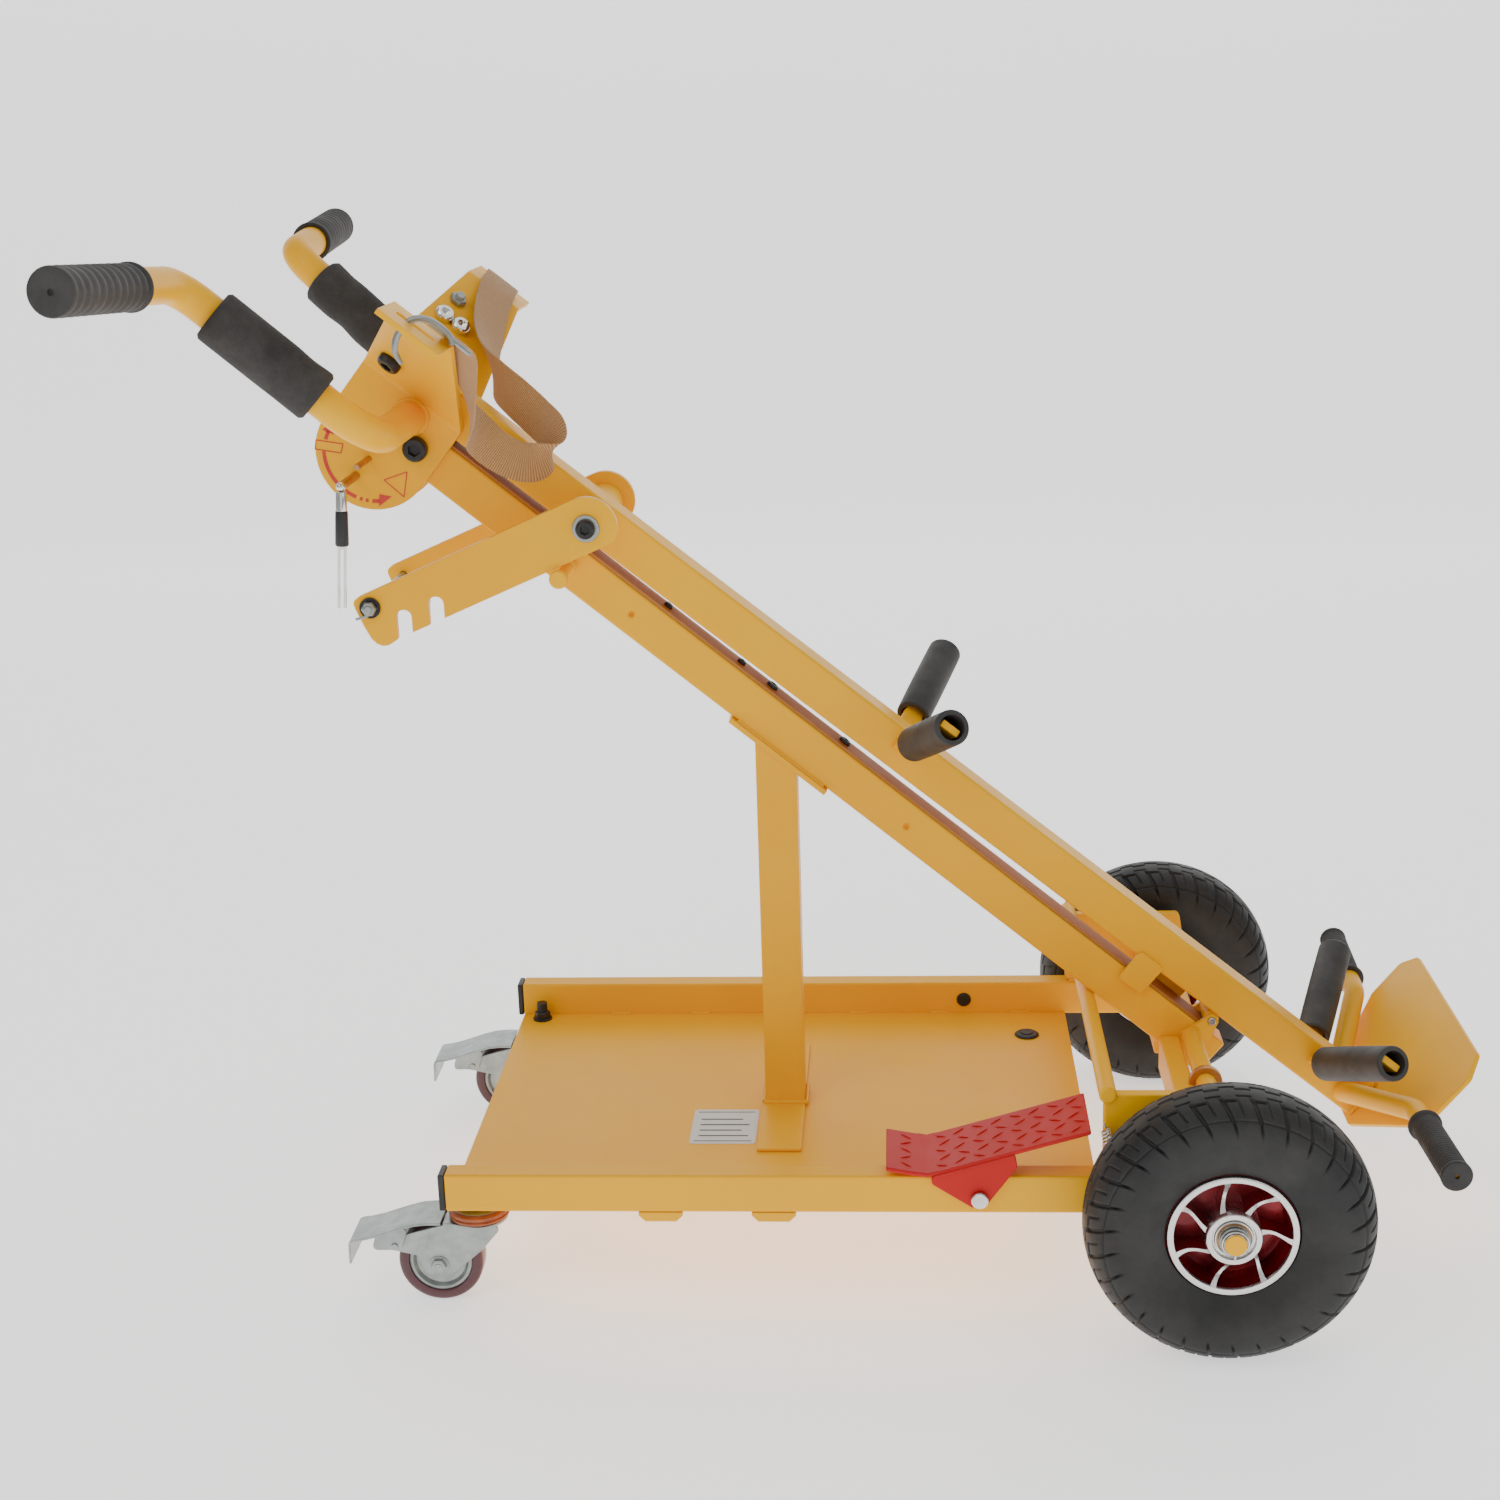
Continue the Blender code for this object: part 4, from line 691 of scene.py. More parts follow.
# ------------------------------------------------------------------ casters
def caster(tag, side):
    y, wheel_x = side * CASTER_Y, CASTER_X - TRAIL
    body = "caster_" + tag
    brake_x, brake_z = wheel_x - 0.04, 0.0615
    cheek = rounded([(CASTER_X + 0.026, 0.0822), (CASTER_X + 0.004, 0.056), (wheel_x + 0.012, 0.03),
        (wheel_x - 0.012, 0.03), (wheel_x - 0.02, 0.05), (wheel_x - 0.046, 0.056), (wheel_x - 0.052, 0.066),
        (CASTER_X - 0.031, 0.0822)], 0.005)
    parts = [prism(cheek, y + s * 0.0155, y + s * 0.018) for s in (-1, 1)]
    crown = [(CASTER_X + 0.027 * cos(radians(a)), 0.027 * sin(radians(a))) for a in range(-90, 91, 6)]
    crown += [(CASTER_X - 0.032, 0.0185), (CASTER_X - 0.032, -0.0185)]
    parts.append(skin([[Vector((x, y + dy, z)) for x, dy in crown] for z in (0.0815, 0.0845)]))
    piece("fork_fine_" + tag, parts, ZINC, body, "caster_fork_" + tag, bevel=0.0009)
    race = [(0.013, 0.0), (0.0262, 0.0), (0.0283, 0.12), (0.0286, 0.3), (0.0272, 0.42), (0.0286, 0.55), (0.0283, 0.8),
        (0.0255, 1.0), (0.013, 1.0)]
    piece("race_fine_" + tag, lathe(race, (CASTER_X, y, 0.0848), (CASTER_X, y, 0.095), 64), RACE, body,
        "caster_race_" + tag)
    piece("race_plate_" + tag, lathe([(0.0122, 0), (0.025, 0.0), (0.0262, 0.4), (0.024, 1.0), (0.0122, 1.0)],
        (CASTER_X, y, 0.0951), (CASTER_X, y, 0.0973), 64), ZINC, body)
    axle = [rod((wheel_x, y - 0.0235, CASTER_R), (wheel_x, y + 0.0235, CASTER_R), 0.004, 28)]
    for s in (-1, 1):
        axle.append(spindle([(0.0078, 0.0), (0.0078, 0.75), (0.0066, 1.0)], (wheel_x, y + s * 0.0183, CASTER_R),
            (wheel_x, y + s * 0.0228, CASTER_R), 6))
        axle.append(lathe([(0.0041, 0), (0.0098, 0.0), (0.0098, 1.0), (0.0041, 1.0)],
            (wheel_x, y + s * 0.018, CASTER_R), (wheel_x, y + s * 0.0188, CASTER_R), 40))
    piece("caster_bolt_" + tag, axle, ZINC, body, "caster_axle_" + tag, bevel=0.0003)
    roll = "caster_wheel_" + tag
    start, end = (wheel_x, y - CASTER_W / 2, CASTER_R), (wheel_x, y + CASTER_W / 2, CASTER_R)
    tread = [(0.03, 0.04), (0.03, 0.96), (0.032, 0.995), (0.035, 1.0), (0.0375, 0.985), (0.0392, 0.93), (0.04, 0.84),
        (0.04, 0.16), (0.0392, 0.07), (0.0375, 0.015), (0.035, 0.0), (0.032, 0.005)]
    piece("tread_fine_" + tag, lathe(tread, start, end, 96), MAROON, roll, "caster_tread_" + tag)
    core = [(0.0298, 0.08), (0.0298, 0.92), (0.0278, 0.97), (0.0262, 0.95), (0.0235, 0.8), (0.013, 0.8),
        (0.0105, 0.86), (0.0092, 1.08), (0.0043, 1.08), (0.0043, -0.08), (0.0092, -0.08), (0.0105, 0.14),
        (0.013, 0.2), (0.0235, 0.2), (0.0262, 0.05), (0.0278, 0.03)]
    piece("core_fine_" + tag, lathe(core, start, end, 80), ZINC, roll, "caster_core_" + tag)
    sheet = 0.0022
    top_line = [(wheel_x + 0.005, 0.0862), (wheel_x - 0.008, 0.0862), (wheel_x - 0.02, 0.085),
        (wheel_x - 0.032, 0.0818), (wheel_x - 0.045, 0.0774), (wheel_x - 0.058, 0.073), (wheel_x - 0.07, 0.07),
        (wheel_x - 0.078, 0.069), (wheel_x - 0.0822, 0.0672), (wheel_x - 0.0836, 0.064), (wheel_x - 0.084, 0.044)]
    inner = []
    for i, (x, z) in enumerate(top_line):
        before, after = Vector(top_line[max(i - 1, 0)]), Vector(top_line[min(i + 1, len(top_line) - 1)])
        run = (after - before).normalized()
        inner.append((x - run.y * -sheet * -1, z + run.x * sheet))
    bow = prism(top_line + [(x, z) for x, z in reversed(inner)], y - 0.0232, y + 0.0232)
    web = rounded([(wheel_x - 0.026, 0.0818), (wheel_x - 0.058, 0.0716), (wheel_x - 0.062, 0.057),
        (wheel_x - 0.034, 0.057)], 0.004)
    parts = [bow] + [prism(web, y + s * 0.0185, y + s * 0.0207) for s in (-1, 1)]
    parts.append(rod((brake_x, y - 0.0225, brake_z), (brake_x, y + 0.0225, brake_z), 0.003, 28))
    piece("brake_fine_" + tag, parts, ZINC, "brake_" + tag, "brake_lever_" + tag, bevel=0.0007)
    parts = [rod((CASTER_X, y, 0.0853), (CASTER_X, y, 0.1285), 0.0055, 32),
        spindle([(0.012, 0.0), (0.012, 1.0)], (CASTER_X, y, 0.0975), (CASTER_X, y, 0.1034), 48),
        spindle([(0.0105, 0.0), (0.0105, 0.7), (0.0092, 1.0)], (CASTER_X, y, 0.1092), (CASTER_X, y, 0.1112), 48),
        spindle([(0.0088, 0.0), (0.0088, 0.85), (0.0074, 1.0)], (CASTER_X, y, 0.1105), (CASTER_X, y, 0.1185), 6)]
    parts += [lathe([(0.005, 0.0), (0.0059, 0.5), (0.005, 1.0)], (CASTER_X, y, z), (CASTER_X, y, z + 0.0011), 32)
        for z in np.arange(0.1192, 0.1268, 0.0012)]
    piece("kingpin_fine_" + tag, parts, DARK, "chassis", "kingpin_" + tag, bevel=0.0002)


# ------------------------------------------------------------------ pedal
def pedal():
    left, bend, right = AXLE_X - 0.2986, AXLE_X - 0.261, AXLE_X - 0.116
    near, far, sheet = -0.244, -0.164, 0.004

    def height(x):
        if x <= bend:
            return 0.1482 + (bend - x) * (0.1551 - 0.1482) / (bend - left)
        return 0.1482 + (x - bend) * 0.043 / (right - bend)

    xs = [left] + [bend + 0.01 * (k - 3) / 3 for k in range(7)] + [right]
    xs = sorted(xs)
    line = [(x, height(x) + (0.0006 if abs(x - bend) < 0.007 else 0.0)) for x in xs]
    plate = prism(line + [(x, z - sheet) for x, z in reversed(line)], near, far)
    piece("pedal_plate", plate, PEDAL_RED, "pedal", "pedal", bevel=0.0014, segments=3)
    outline = rounded([(AXLE_X + x, z) for x, z in ((-0.258, 0.1452), (-0.2575, 0.138), (-0.222, 0.115),
        (-0.21, 0.115), (-0.181, 0.155), (-0.183, 0.168))], 0.0035)
    ears = [prism(outline, -0.2438, -0.2395), prism(outline, -0.213, -0.209)]
    piece("pedal_ears", ears, PEDAL_RED, "pedal", bevel=0.001)
    piece("pedal_weld", weld_bead([(AXLE_X - 0.256 + 0.0105 * k, -0.2442,
        height(AXLE_X - 0.256 + 0.0105 * k) - 0.0038) for k in range(8)], 0.0013, 4), PEDAL_RED, "pedal")
    ridges, steps = [], range(-4, 5)

    def ridge(x, y, turn, reaches):
        path = [(x + d * cos(turn), y + d * sin(turn), height(x + d * cos(turn)) + 0.0002) for d in reaches]
        if path[-1][0] <= right - 0.003:
            ridges.append(sweep(path, [0.0008 * (1 - abs(step / 4) ** 2) + 0.0001 for step in steps], 8))

    for row in range(5):
        for k in range(8):
            ridge(bend + 0.012 + 0.0172 * k + 0.004 * (row % 2), near + 0.011 + 0.0145 * row,
                radians(35 if (row + k) % 2 else -35), [0.0062 * step / 4 for step in steps])
    for row in range(5):
        ridge(left + 0.018, near + 0.013 + 0.014 * row, radians(35 if row % 2 else -35),
            [0.0015 * step for step in steps])
    piece("pedal_ridges", ridges, PEDAL_RED, "pedal", angle=60)
    profile = [(0.005, 0.0), (0.005, 0.9), (0.007, 0.9), (0.0078, 0.92), (0.0078, 0.975), (0.007, 1.0)]
    piece("pedal_pin_fine", spindle(profile, (PEDAL_X, -0.206, PEDAL_Z), (PEDAL_X, -0.2492, PEDAL_Z), 40), STEEL,
        "chassis", "pedal_pin")
    top, bottom = Vector((AXLE_X - 0.104, -0.2385, 0.195)), Vector((AXLE_X - 0.095, -0.2385, 0.15))
    across, up = square_to(bottom - top)
    coil = []
    for k in range(11 * 20 + 1):
        turn = 2 * pi * k / 20
        reach = 0.004
        coil.append(between(top, bottom, 0.12 + 0.76 * k / 220) + reach * (cos(turn) * across + sin(turn) * up))
    ends = [sweep(smooth_path([between(top, bottom, 0.12) + 0.004 * across, between(top, bottom, 0.05),
        between(top, bottom, -0.03)]), 0.0008, 10), sweep(smooth_path([between(top, bottom, 0.88) + 0.004 * across,
        between(top, bottom, 0.95), between(top, bottom, 1.03)]), 0.0008, 10)]
    piece("pedal_coil", [sweep(coil, 0.00085, 10)] + ends, CHROME, "chassis", "pedal_spring")


# ------------------------------------------------------------------ cradle
def on_arm(u, y, side):
    return beam(u, 0.028 + 0.591 * (y - 0.018), side * y)


def toe_handle(side):
    return beam(-0.157, 0.078, side * 0.14), beam(-0.157, 0.084, side * 0.278)


def cradle_parts():
    piece("cradle_tube", beam_block(beam, -0.1715, 1.02, V0, V1, HALF_Y), YELLOW, "cradle", "cradle_beam",
        bevel=0.003, segments=4)
    for tag, side, u0, u1 in (("near", -1, 0.072, 0.101), ("far", 1, 0.026, 0.066)):
        low, high = sorted((side * 0.0181, side * 0.0215))
        corners = [beam(u0, 0.013, 0), beam(u1, 0.013, 0), beam(u1, -0.022, 0), beam(u0, -0.022, 0)]
        piece("guide_tab_" + tag, prism(rounded([(p.x, p.z) for p in corners], 0.004), low, high), YELLOW, "cradle",
            bevel=0.0006)
    piece("hinge_barrel", lathe([(0.0043, 0), (0.0066, 0.0), (0.0074, 0.04), (0.0074, 0.96), (0.0066, 1.0),
        (0.0043, 1)], beam(0, 0, -0.0155), beam(0, 0, 0.0155), 40), YELLOW, "cradle")
    for tag, side in SIDES:
        corners = [beam(-0.15, 0.02, side * 0.012), *toe_handle(side)]
        piece("toe_tube_" + tag, sweep(bent(corners, 0.035), 0.0105, 36), YELLOW, "cradle")
        piece("prop_boss_" + tag, spindle([(0.0172, 0.0), (0.0172, 0.975), (0.0164, 1.0)],
            (PROP_AT.x, side * 0.0175, PROP_AT.z), (PROP_AT.x, side * 0.0675, PROP_AT.z), 56), YELLOW, "cradle")
        for name, u, first in (("lower", -0.11, 0.034), ("upper", 0.41, 0.05)):
            root, tip = on_arm(u, HALF_Y - 0.001, side), on_arm(u, 0.137, side)
            along = (tip - root).normalized()
            wide = Vector((cos(CRADLE_PITCH), 0, -sin(CRADLE_PITCH)))
            thick = along.cross(wide).normalized()
            section = [(-0.0095, -0.0035), (0.0095, -0.0035), (0.0095, 0.0035), (-0.0095, 0.0035)]
            piece(f"v_arm_{name}_{tag}", skin([[end + a * wide + b * thick for a, b in section]
                for end in (root, tip)]), YELLOW, "cradle", bevel=0.0008)
            piece(f"arm_weld_{name}_{tag}", weld_bead([root + wide * w + along * 0.0014 + thick * 0.0038
                for w in (-0.0095, 0.0095)], 0.0017, 7), YELLOW, "cradle")
            profile = [(0.0118, 0.0), (0.0155, 0.0), (0.0165, 0.012), (0.0168, 0.3), (0.0168, 0.7), (0.0165, 0.988),
                (0.0155, 1.0), (0.0118, 1.0)]
            piece(f"sleeve_{name}_{tag}", lathe(profile, on_arm(u, first, side), on_arm(u, 0.141, side), 56), SLEEVE,
                "cradle", f"arm_sleeve_{name}_{tag}")
    toe_plate()
    for tag, side in SIDES:
        start, end = toe_handle(side)
        profile = [(0.0108, 0.0), (0.015, 0.0), (0.0156, 0.012), (0.0156, 0.024), (0.015, 0.036), (0.0132, 0.045)]
        k = 0.06
        while k < 0.93:
            profile += [(0.0126, k), (0.0133, k + 0.009), (0.0133, k + 0.022), (0.0126, k + 0.031)]
            k += 0.04
        profile += [(0.0126, 0.945), (0.0139, 0.955), (0.0141, 0.985), (0.0132, 1.0), (0.002, 1.0), (0.002, 0.975),
            (0.0108, 0.975)]
        piece("toe_grip_fine_" + tag, lathe(profile, between(start, end, 0.243), between(start, end, 1.03), 56),
            RUBBER, "cradle", "toe_grip_" + tag, angle=50)


def toe_plate():
    half = [(0.028, 0.001), (0.118, 0.056), (0.142, 0.088), (0.142, 0.132), (0.12, 0.152)]
    corners = [(-y, v) for y, v in half[:1]] + half + [(-y, v) for y, v in reversed(half[1:])]
    toe = rounded(corners, 0.01, 8)
    u = -0.1718
    piece("toe_sheet", skin([[beam(w, v, y) for y, v in toe] for w in (u, u - 0.005)]), YELLOW, "cradle", "toe_plate",
        bevel=0.001)
    piece("toe_welds", [weld_bead([beam(u + 0.0016, V1 + 0.0008, -0.016), beam(u + 0.0016, V1 + 0.0008, 0.016)],
        0.0024, 3)] + [weld_bead([beam(u + 0.0016, 0.008, side * (HALF_Y + 0.001)),
        beam(u + 0.0016, 0.045, side * (HALF_Y + 0.001))], 0.0022, 9 + side) for side in (-1, 1)], YELLOW, "cradle")


SECTOR_U, SECTOR_V, SECTOR_R = 0.974, -0.047, 0.055
FOLD_V, WING_Y, FLANGE_Y, FLANGE_V, SHEET = 0.02, 0.17, 0.238, 0.1085, 0.005
HEAD_BOLT = (0.944, -0.021)


def folded(points, radius, steps=5):
    """(v, y) line with its two folds rounded."""
    path = bent([(v, y, 0) for v, y in points], radius, steps)
    return [(p.x, p.y) for p in path]


def head_plate(tag, side):
    """Cheek, wing and flange as one bent sheet, its edges following the outline at every row."""
    rows = [(SECTOR_V + SECTOR_R * sin(radians(-90 + a)), CHEEK_Y, SECTOR_U - SECTOR_R * cos(radians(-90 + a)),
        SECTOR_U + SECTOR_R * cos(radians(-90 + a))) for a in (0.001, 4, 8, 12, 18, 24, 30, 36, 42, 48, 54, 60, 66,
        72, 78, 84, 90)]
    line = folded([(SECTOR_V + 0.004, CHEEK_Y), (FOLD_V, CHEEK_Y), (FLANGE_V, WING_Y), (FLANGE_V, FLANGE_Y)], 0.012,
        6)
    for v, y in line[1:]:
        share = min(1.0, max(0.0, (y - CHEEK_Y) / (WING_Y - CHEEK_Y)))
        low, high = 0.919 + (0.957 - 0.919) * share, 1.029 + (1.018 - 1.029) * share
        rows.append((v, y, low, high))
    bm = bmesh.new()
    columns = 12
    grid = []
    for v, y, low, high in rows:
        grid.append([bm.verts.new(beam(low + (high - low) * i / columns, v, side * y)) for i in range(columns + 1)])
    for one, two in zip(grid, grid[1:]):
        for i in range(columns):
            bm.faces.new((one[i], one[i + 1], two[i + 1], two[i]))
    bmesh.ops.remove_doubles(bm, verts=bm.verts, dist=1e-5)
    bmesh.ops.recalc_face_normals(bm, faces=bm.faces)
    bm.faces.ensure_lookup_table()
    lowest = min(bm.faces, key=lambda f: f.calc_center_median().z)
    if lowest.normal.y * side < 0:
        bmesh.ops.reverse_faces(bm, faces=bm.faces)
    data = bpy.data.meshes.new("head_sheet_" + tag)
    bm.to_mesh(data)
    bm.free()
    data.materials.append(YELLOW)
    obj = placed("head_sheet_" + tag, data)
    solid = obj.modifiers.new("thickness", 'SOLIDIFY')
    solid.thickness, solid.offset, solid.use_even_offset = SHEET - 0.0002, 1.0, True
    bpy.context.view_layer.objects.active = obj
    with bpy.context.temp_override(object=obj, active_object=obj, selected_objects=[obj]):
        bpy.ops.object.modifier_apply(modifier="thickness")
    slot_line = rounded([(0.968, -0.0055), (1.008, -0.0055), (1.008, 0.0055), (0.968, 0.0055)], 0.005, 6)
    slot = skin([[beam(u, v, side * 0.204 + y) for u, y in slot_line] for v in (FLANGE_V - 0.02, FLANGE_V + 0.02)])
    hole = rod(beam(*HEAD_BOLT, side * 0.01), beam(*HEAD_BOLT, side * 0.03), 0.0046, 32)
    cut_out(obj, [slot, hole])
    ease(obj, 0.0008)
    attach(obj, "cradle")
    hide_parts("head_plate_" + tag)


def wing_point(u, climb, off, side):
    foot, crest = Vector((FOLD_V, CHEEK_Y)), Vector((FLANGE_V, WING_Y))
    slope = (crest - foot).normalized()
    return beam(u, foot.x + slope.x * climb + slope.y * off, side * (foot.y + slope.y * climb - slope.x * off))


def flat_strip(points, width, y):
    """Thin band on the near cheek's face along (u, v) points."""
    rings = []
    for i, (u, v) in enumerate(points):
        before, after = Vector(points[max(i - 1, 0)]), Vector(points[min(i + 1, len(points) - 1)])
        run = (after - before).normalized()
        normal = Vector((-run.y, run.x)) * width / 2
        rings.append([beam(u + normal.x, v + normal.y, y), beam(u - normal.x, v - normal.y, y),
            beam(u - normal.x, v - normal.y, y - 0.00012), beam(u + normal.x, v + normal.y, y - 0.00012)])
    return skin(rings)


def cheek_marks():
    """Direction marks on the near cheek: an arc with arrows, an outlined box and an outlined triangle."""
    y = -(CHEEK_OUT + 0.00004)
    centre = Vector((SECTOR_U, SECTOR_V))

    def at(angle, radius=0.047):
        return (centre.x + radius * cos(radians(angle)), centre.y + radius * sin(radians(angle)))

    marks = [flat_strip([at(a) for a in np.linspace(-38, -104, 16)], 0.0034, y)]
    for a in (-110, -117):
        marks.append(flat_strip([at(a + 1.6), at(a - 1.6)], 0.0034, y))
    marks.append(flat_strip([at(-123), at(-131)], 0.0034, y))
    tip, wing_a, wing_b = at(-147, 0.045), at(-130, 0.052), at(-132, 0.0405)
    marks.append(skin([[beam(*p, h) for p in (tip, wing_a, wing_b)] for h in (y, y - 0.00012)]))
    marks.append(flat_strip([at(-24, 0.046), at(-14, 0.0455)], 0.0034, y))
    tip, wing_a, wing_b = at(-2, 0.0455), at(-15, 0.0515), at(-15, 0.0395)
    marks.append(skin([[beam(*p, h) for p in (tip, wing_a, wing_b)] for h in (y, y - 0.00012)]))
    outline = [(1.0228, -0.0717), (1.0006, -0.0592), (0.9973, -0.0673), (1.0188, -0.0793)]
    marks += [flat_strip([outline[i], outline[(i + 1) % 4]], 0.001, y) for i in range(4)]
    outline = [(0.951, -0.0633), (0.9382, -0.0438), (0.927, -0.0649)]
    marks += [flat_strip([outline[i], outline[(i + 1) % 3]], 0.001, y) for i in range(3)]
    piece("cheek_marks", marks, INK, "cradle", smooth=False)


def head():
    for tag, side in SIDES:
        head_plate(tag, side)
        piece("cheek_weld_" + tag, [weld_bead([beam(u, V1 - 0.001, side * (HALF_Y + 0.0002)) for u in (0.93, 1.018)],
            0.0012, 6)], YELLOW, "cradle")
        root, elbow = beam(0.965, -0.0004, side * (CHEEK_OUT + 0.0008)), beam(0.965, -0.003, side * 0.164)
        shoulder, tip = beam(1.171, 0.01, side * 0.1915), beam(1.191, 0.012, side * 0.43)
        first, second = bent([root, elbow, shoulder], 0.05, 16), bent([elbow, shoulder, tip], 0.034, 16)
        piece("bar_fine_" + tag, sweep(first[:-1] + second[1:], 0.0155, 44), YELLOW, "cradle", "handlebar_" + tag)
        ring = []
        for a in range(0, 361, 12):
            ring.append(beam(0.965 + 0.016 * cos(radians(a)), -0.0004 + 0.016 * sin(radians(a)),
                side * (CHEEK_OUT + 0.001)))
        piece("bar_weld_" + tag, weld_bead(ring, 0.0022, 3), YELLOW, "cradle")
        foam(tag, side, between(elbow, shoulder, 0.286), between(elbow, shoulder, 0.815))
        grip(tag, between(shoulder, tip, 0.396), between(shoulder, tip, 1.0168))
    reach = CHEEK_OUT + 0.0003
    heads = []
    for side in (-1, 1):
        heads.append(socket_bolt(beam(*HEAD_BOLT, side * reach), (0, side, 0), 0.0118, 0.0085, 0.45))
    heads.append(rod(beam(*HEAD_BOLT, -CHEEK_Y + GAP), beam(*HEAD_BOLT, CHEEK_Y - GAP), 0.006, 32))
    piece("head_bolt_fine", heads, DARK, "cradle", "head_bolt", bevel=0.0002)
    down = wing_point(1.004, 0.05, -1.0, -1) - wing_point(1.004, 0.05, 0.0, -1)
    piece("wing_bolt_near", socket_bolt(wing_point(1.004, 0.05, -SHEET, -1), down, 0.0112, 0.008, 0.45), DARK,
        "cradle")
    for tag, side, spots in (("far", 1, ((0.987, 0.098), (1.006, 0.098))), ("near", -1, ((0.99, 0.086),))):
        up = wing_point(1.0, 0.05, 1.0, side) - wing_point(1.0, 0.05, 0.0, side)
        piece("wing_buttons_" + tag, [socket_bolt(wing_point(u, climb, 0.0, side), up, 0.0096, 0.0075, 0.5) for u,
            climb in spots], CHROME, "cradle")
    up = wing_point(1.0, 0.05, 1.0, 1) - wing_point(1.0, 0.05, 0.0, 1)
    at = wing_point(1.006, 0.128, 0.0, 1)
    piece("wing_nut_far", [spindle([(0.0085, 0.0), (0.0085, 0.8), (0.0074, 1.0)], at, at + up.normalized() * 0.006,
        6), spindle([(0.0048, 0.0), (0.0048, 0.85), (0.004, 1.0)], at, at + up.normalized() * 0.01, 28)], ZINC,
        "cradle", bevel=0.0002)
    piece("lever_stop", spindle([(0.003, 0.0), (0.003, 0.97), (0.0024, 1.0)],
        beam(0.9737, -0.056, -(CHEEK_OUT - 0.001)), beam(0.9737, -0.056, -0.072), 28), BRONZE, "cradle")
    cheek_marks()


def foam(tag, side, start, end):
    """Split foam sleeve with soft rounded ends and a few dents."""
    rng = random.Random(20 + side)
    across, up = square_to(end - start)
    count, sides = 40, 64
    dents = [(rng.random(), rng.random() * 2 * pi, 0.0006 + 0.0009 * rng.random()) for _ in range(9)]
    profile = []
    for k in range(count + 1):
        share = k / count
        near_end = min(share, 1 - share) * (end - start).length
        radius = 0.024 - 0.0026 * max(0.0, 1 - near_end / 0.0035) ** 2
        profile.append((share, radius))
    bm = bmesh.new()
    loops = []
    for share, radius in [(0.0, 0.0167)] + profile + [(1.0, 0.0167)]:
        ring = []
        for i in range(sides):
            turn = 2 * pi * i / sides
            dent = 0.0
            for place, where, depth in dents:
                gap = (turn - where + pi) % (2 * pi) - pi
                dent += depth * exp(-((share - place) / 0.1) ** 2 - (gap / 0.5) ** 2)
            r = radius - (dent if radius > 0.02 else 0.0)
            ring.append(bm.verts.new(start + (end - start) * share + r * (cos(turn) * across + sin(turn) * up)))
        loops.append(ring)
    for one, two in zip(loops, loops[1:] + loops[:1]):
        for i in range(sides):
            j = (i + 1) % sides
            bm.faces.new((one[i], one[j], two[j], two[i]))
    obj = piece("foam_fine_" + tag, bm, FOAM, "cradle", "foam_sleeve_" + tag, angle=60)


def grip(tag, start, end):
    """Moulded grip with fine rings, a flanged inner end and a closed outer end with a vent."""
    profile = [(0.0163, 0.0), (0.0196, 0.0), (0.0202, 0.008), (0.0202, 0.022), (0.0196, 0.03)]
    k = 0.045
    while k < 0.9:
        profile += [(0.0178 + 0.0016 * sin(pi * step / 8), k + 0.0105 * step) for step in range(8)]
        k += 0.09
    profile += [(0.018, 0.955), (0.019, 0.965), (0.0193, 0.985), (0.0184, 1.0), (0.003, 1.0), (0.0025, 0.996),
        (0.0025, 0.985), (0.0002, 0.985), (0.0002, 0.976), (0.0163, 0.976)]
    piece("grip_fine_" + tag, lathe(profile, start, end, 72), RUBBER, "cradle", "handle_grip_" + tag, angle=50)


# ------------------------------------------------------------------ strap
BAND = [  # u, v, y of the middle of the webbing, then the direction of its width
    ((0.988, 0.101, 0.2045), (1, 0, 0)), ((0.988, 0.115, 0.202), (1, 0, 0)),
    ((0.987, 0.1165, 0.188), (1, 0, 0)), ((0.984, 0.111, 0.164), (1, 0, 0)),
    ((0.975, 0.098, 0.133), (1, 0.1, 0)), ((0.96, 0.082, 0.096), (1, 0.3, 0)),
    ((0.942, 0.071, 0.06), (0.9, 0.6, 0)), ((0.922, 0.067, 0.03), (0.5, 0.9, 0)),
    ((0.898, 0.0685, 0.008), (0.2, 1.0, 0)), ((0.872, 0.069, -0.007), (0.2, 1.0, 0)),
    ((0.852, 0.069, -0.024), (0.2, 1.0, 0)), ((0.842, 0.058, -0.034), (0.2, 1.0, 0)),
    ((0.846, 0.044, -0.041), (0.1, 1.0, 0)), ((0.86, 0.0335, -0.044), (0.1, 1.0, 0)),
    ((0.88, 0.03, -0.048), (0.2, 1.0, 0)), ((0.899, 0.033, -0.056), (0.4, 1.0, 0)),
    ((0.915, 0.045, -0.072), (0.7, 0.8, 0)), ((0.927, 0.061, -0.093), (0.9, 0.6, 0)),
    ((0.938, 0.079, -0.118), (1, 0.4, 0)), ((0.947, 0.097, -0.143), (1, 0.2, 0)),
    ((0.953, 0.11, -0.164), (1, 0, 0)), ((0.957, 0.1165, -0.182), (1, 0, 0)),
    ((0.96, 0.1165, -0.197), (1, 0, 0)),
]
STRAP_W, STRAP_T = 0.037, 0.0022
TAIL, NARROWING = 22, 0.25  # path points at the hook's end, and the share of width lost there


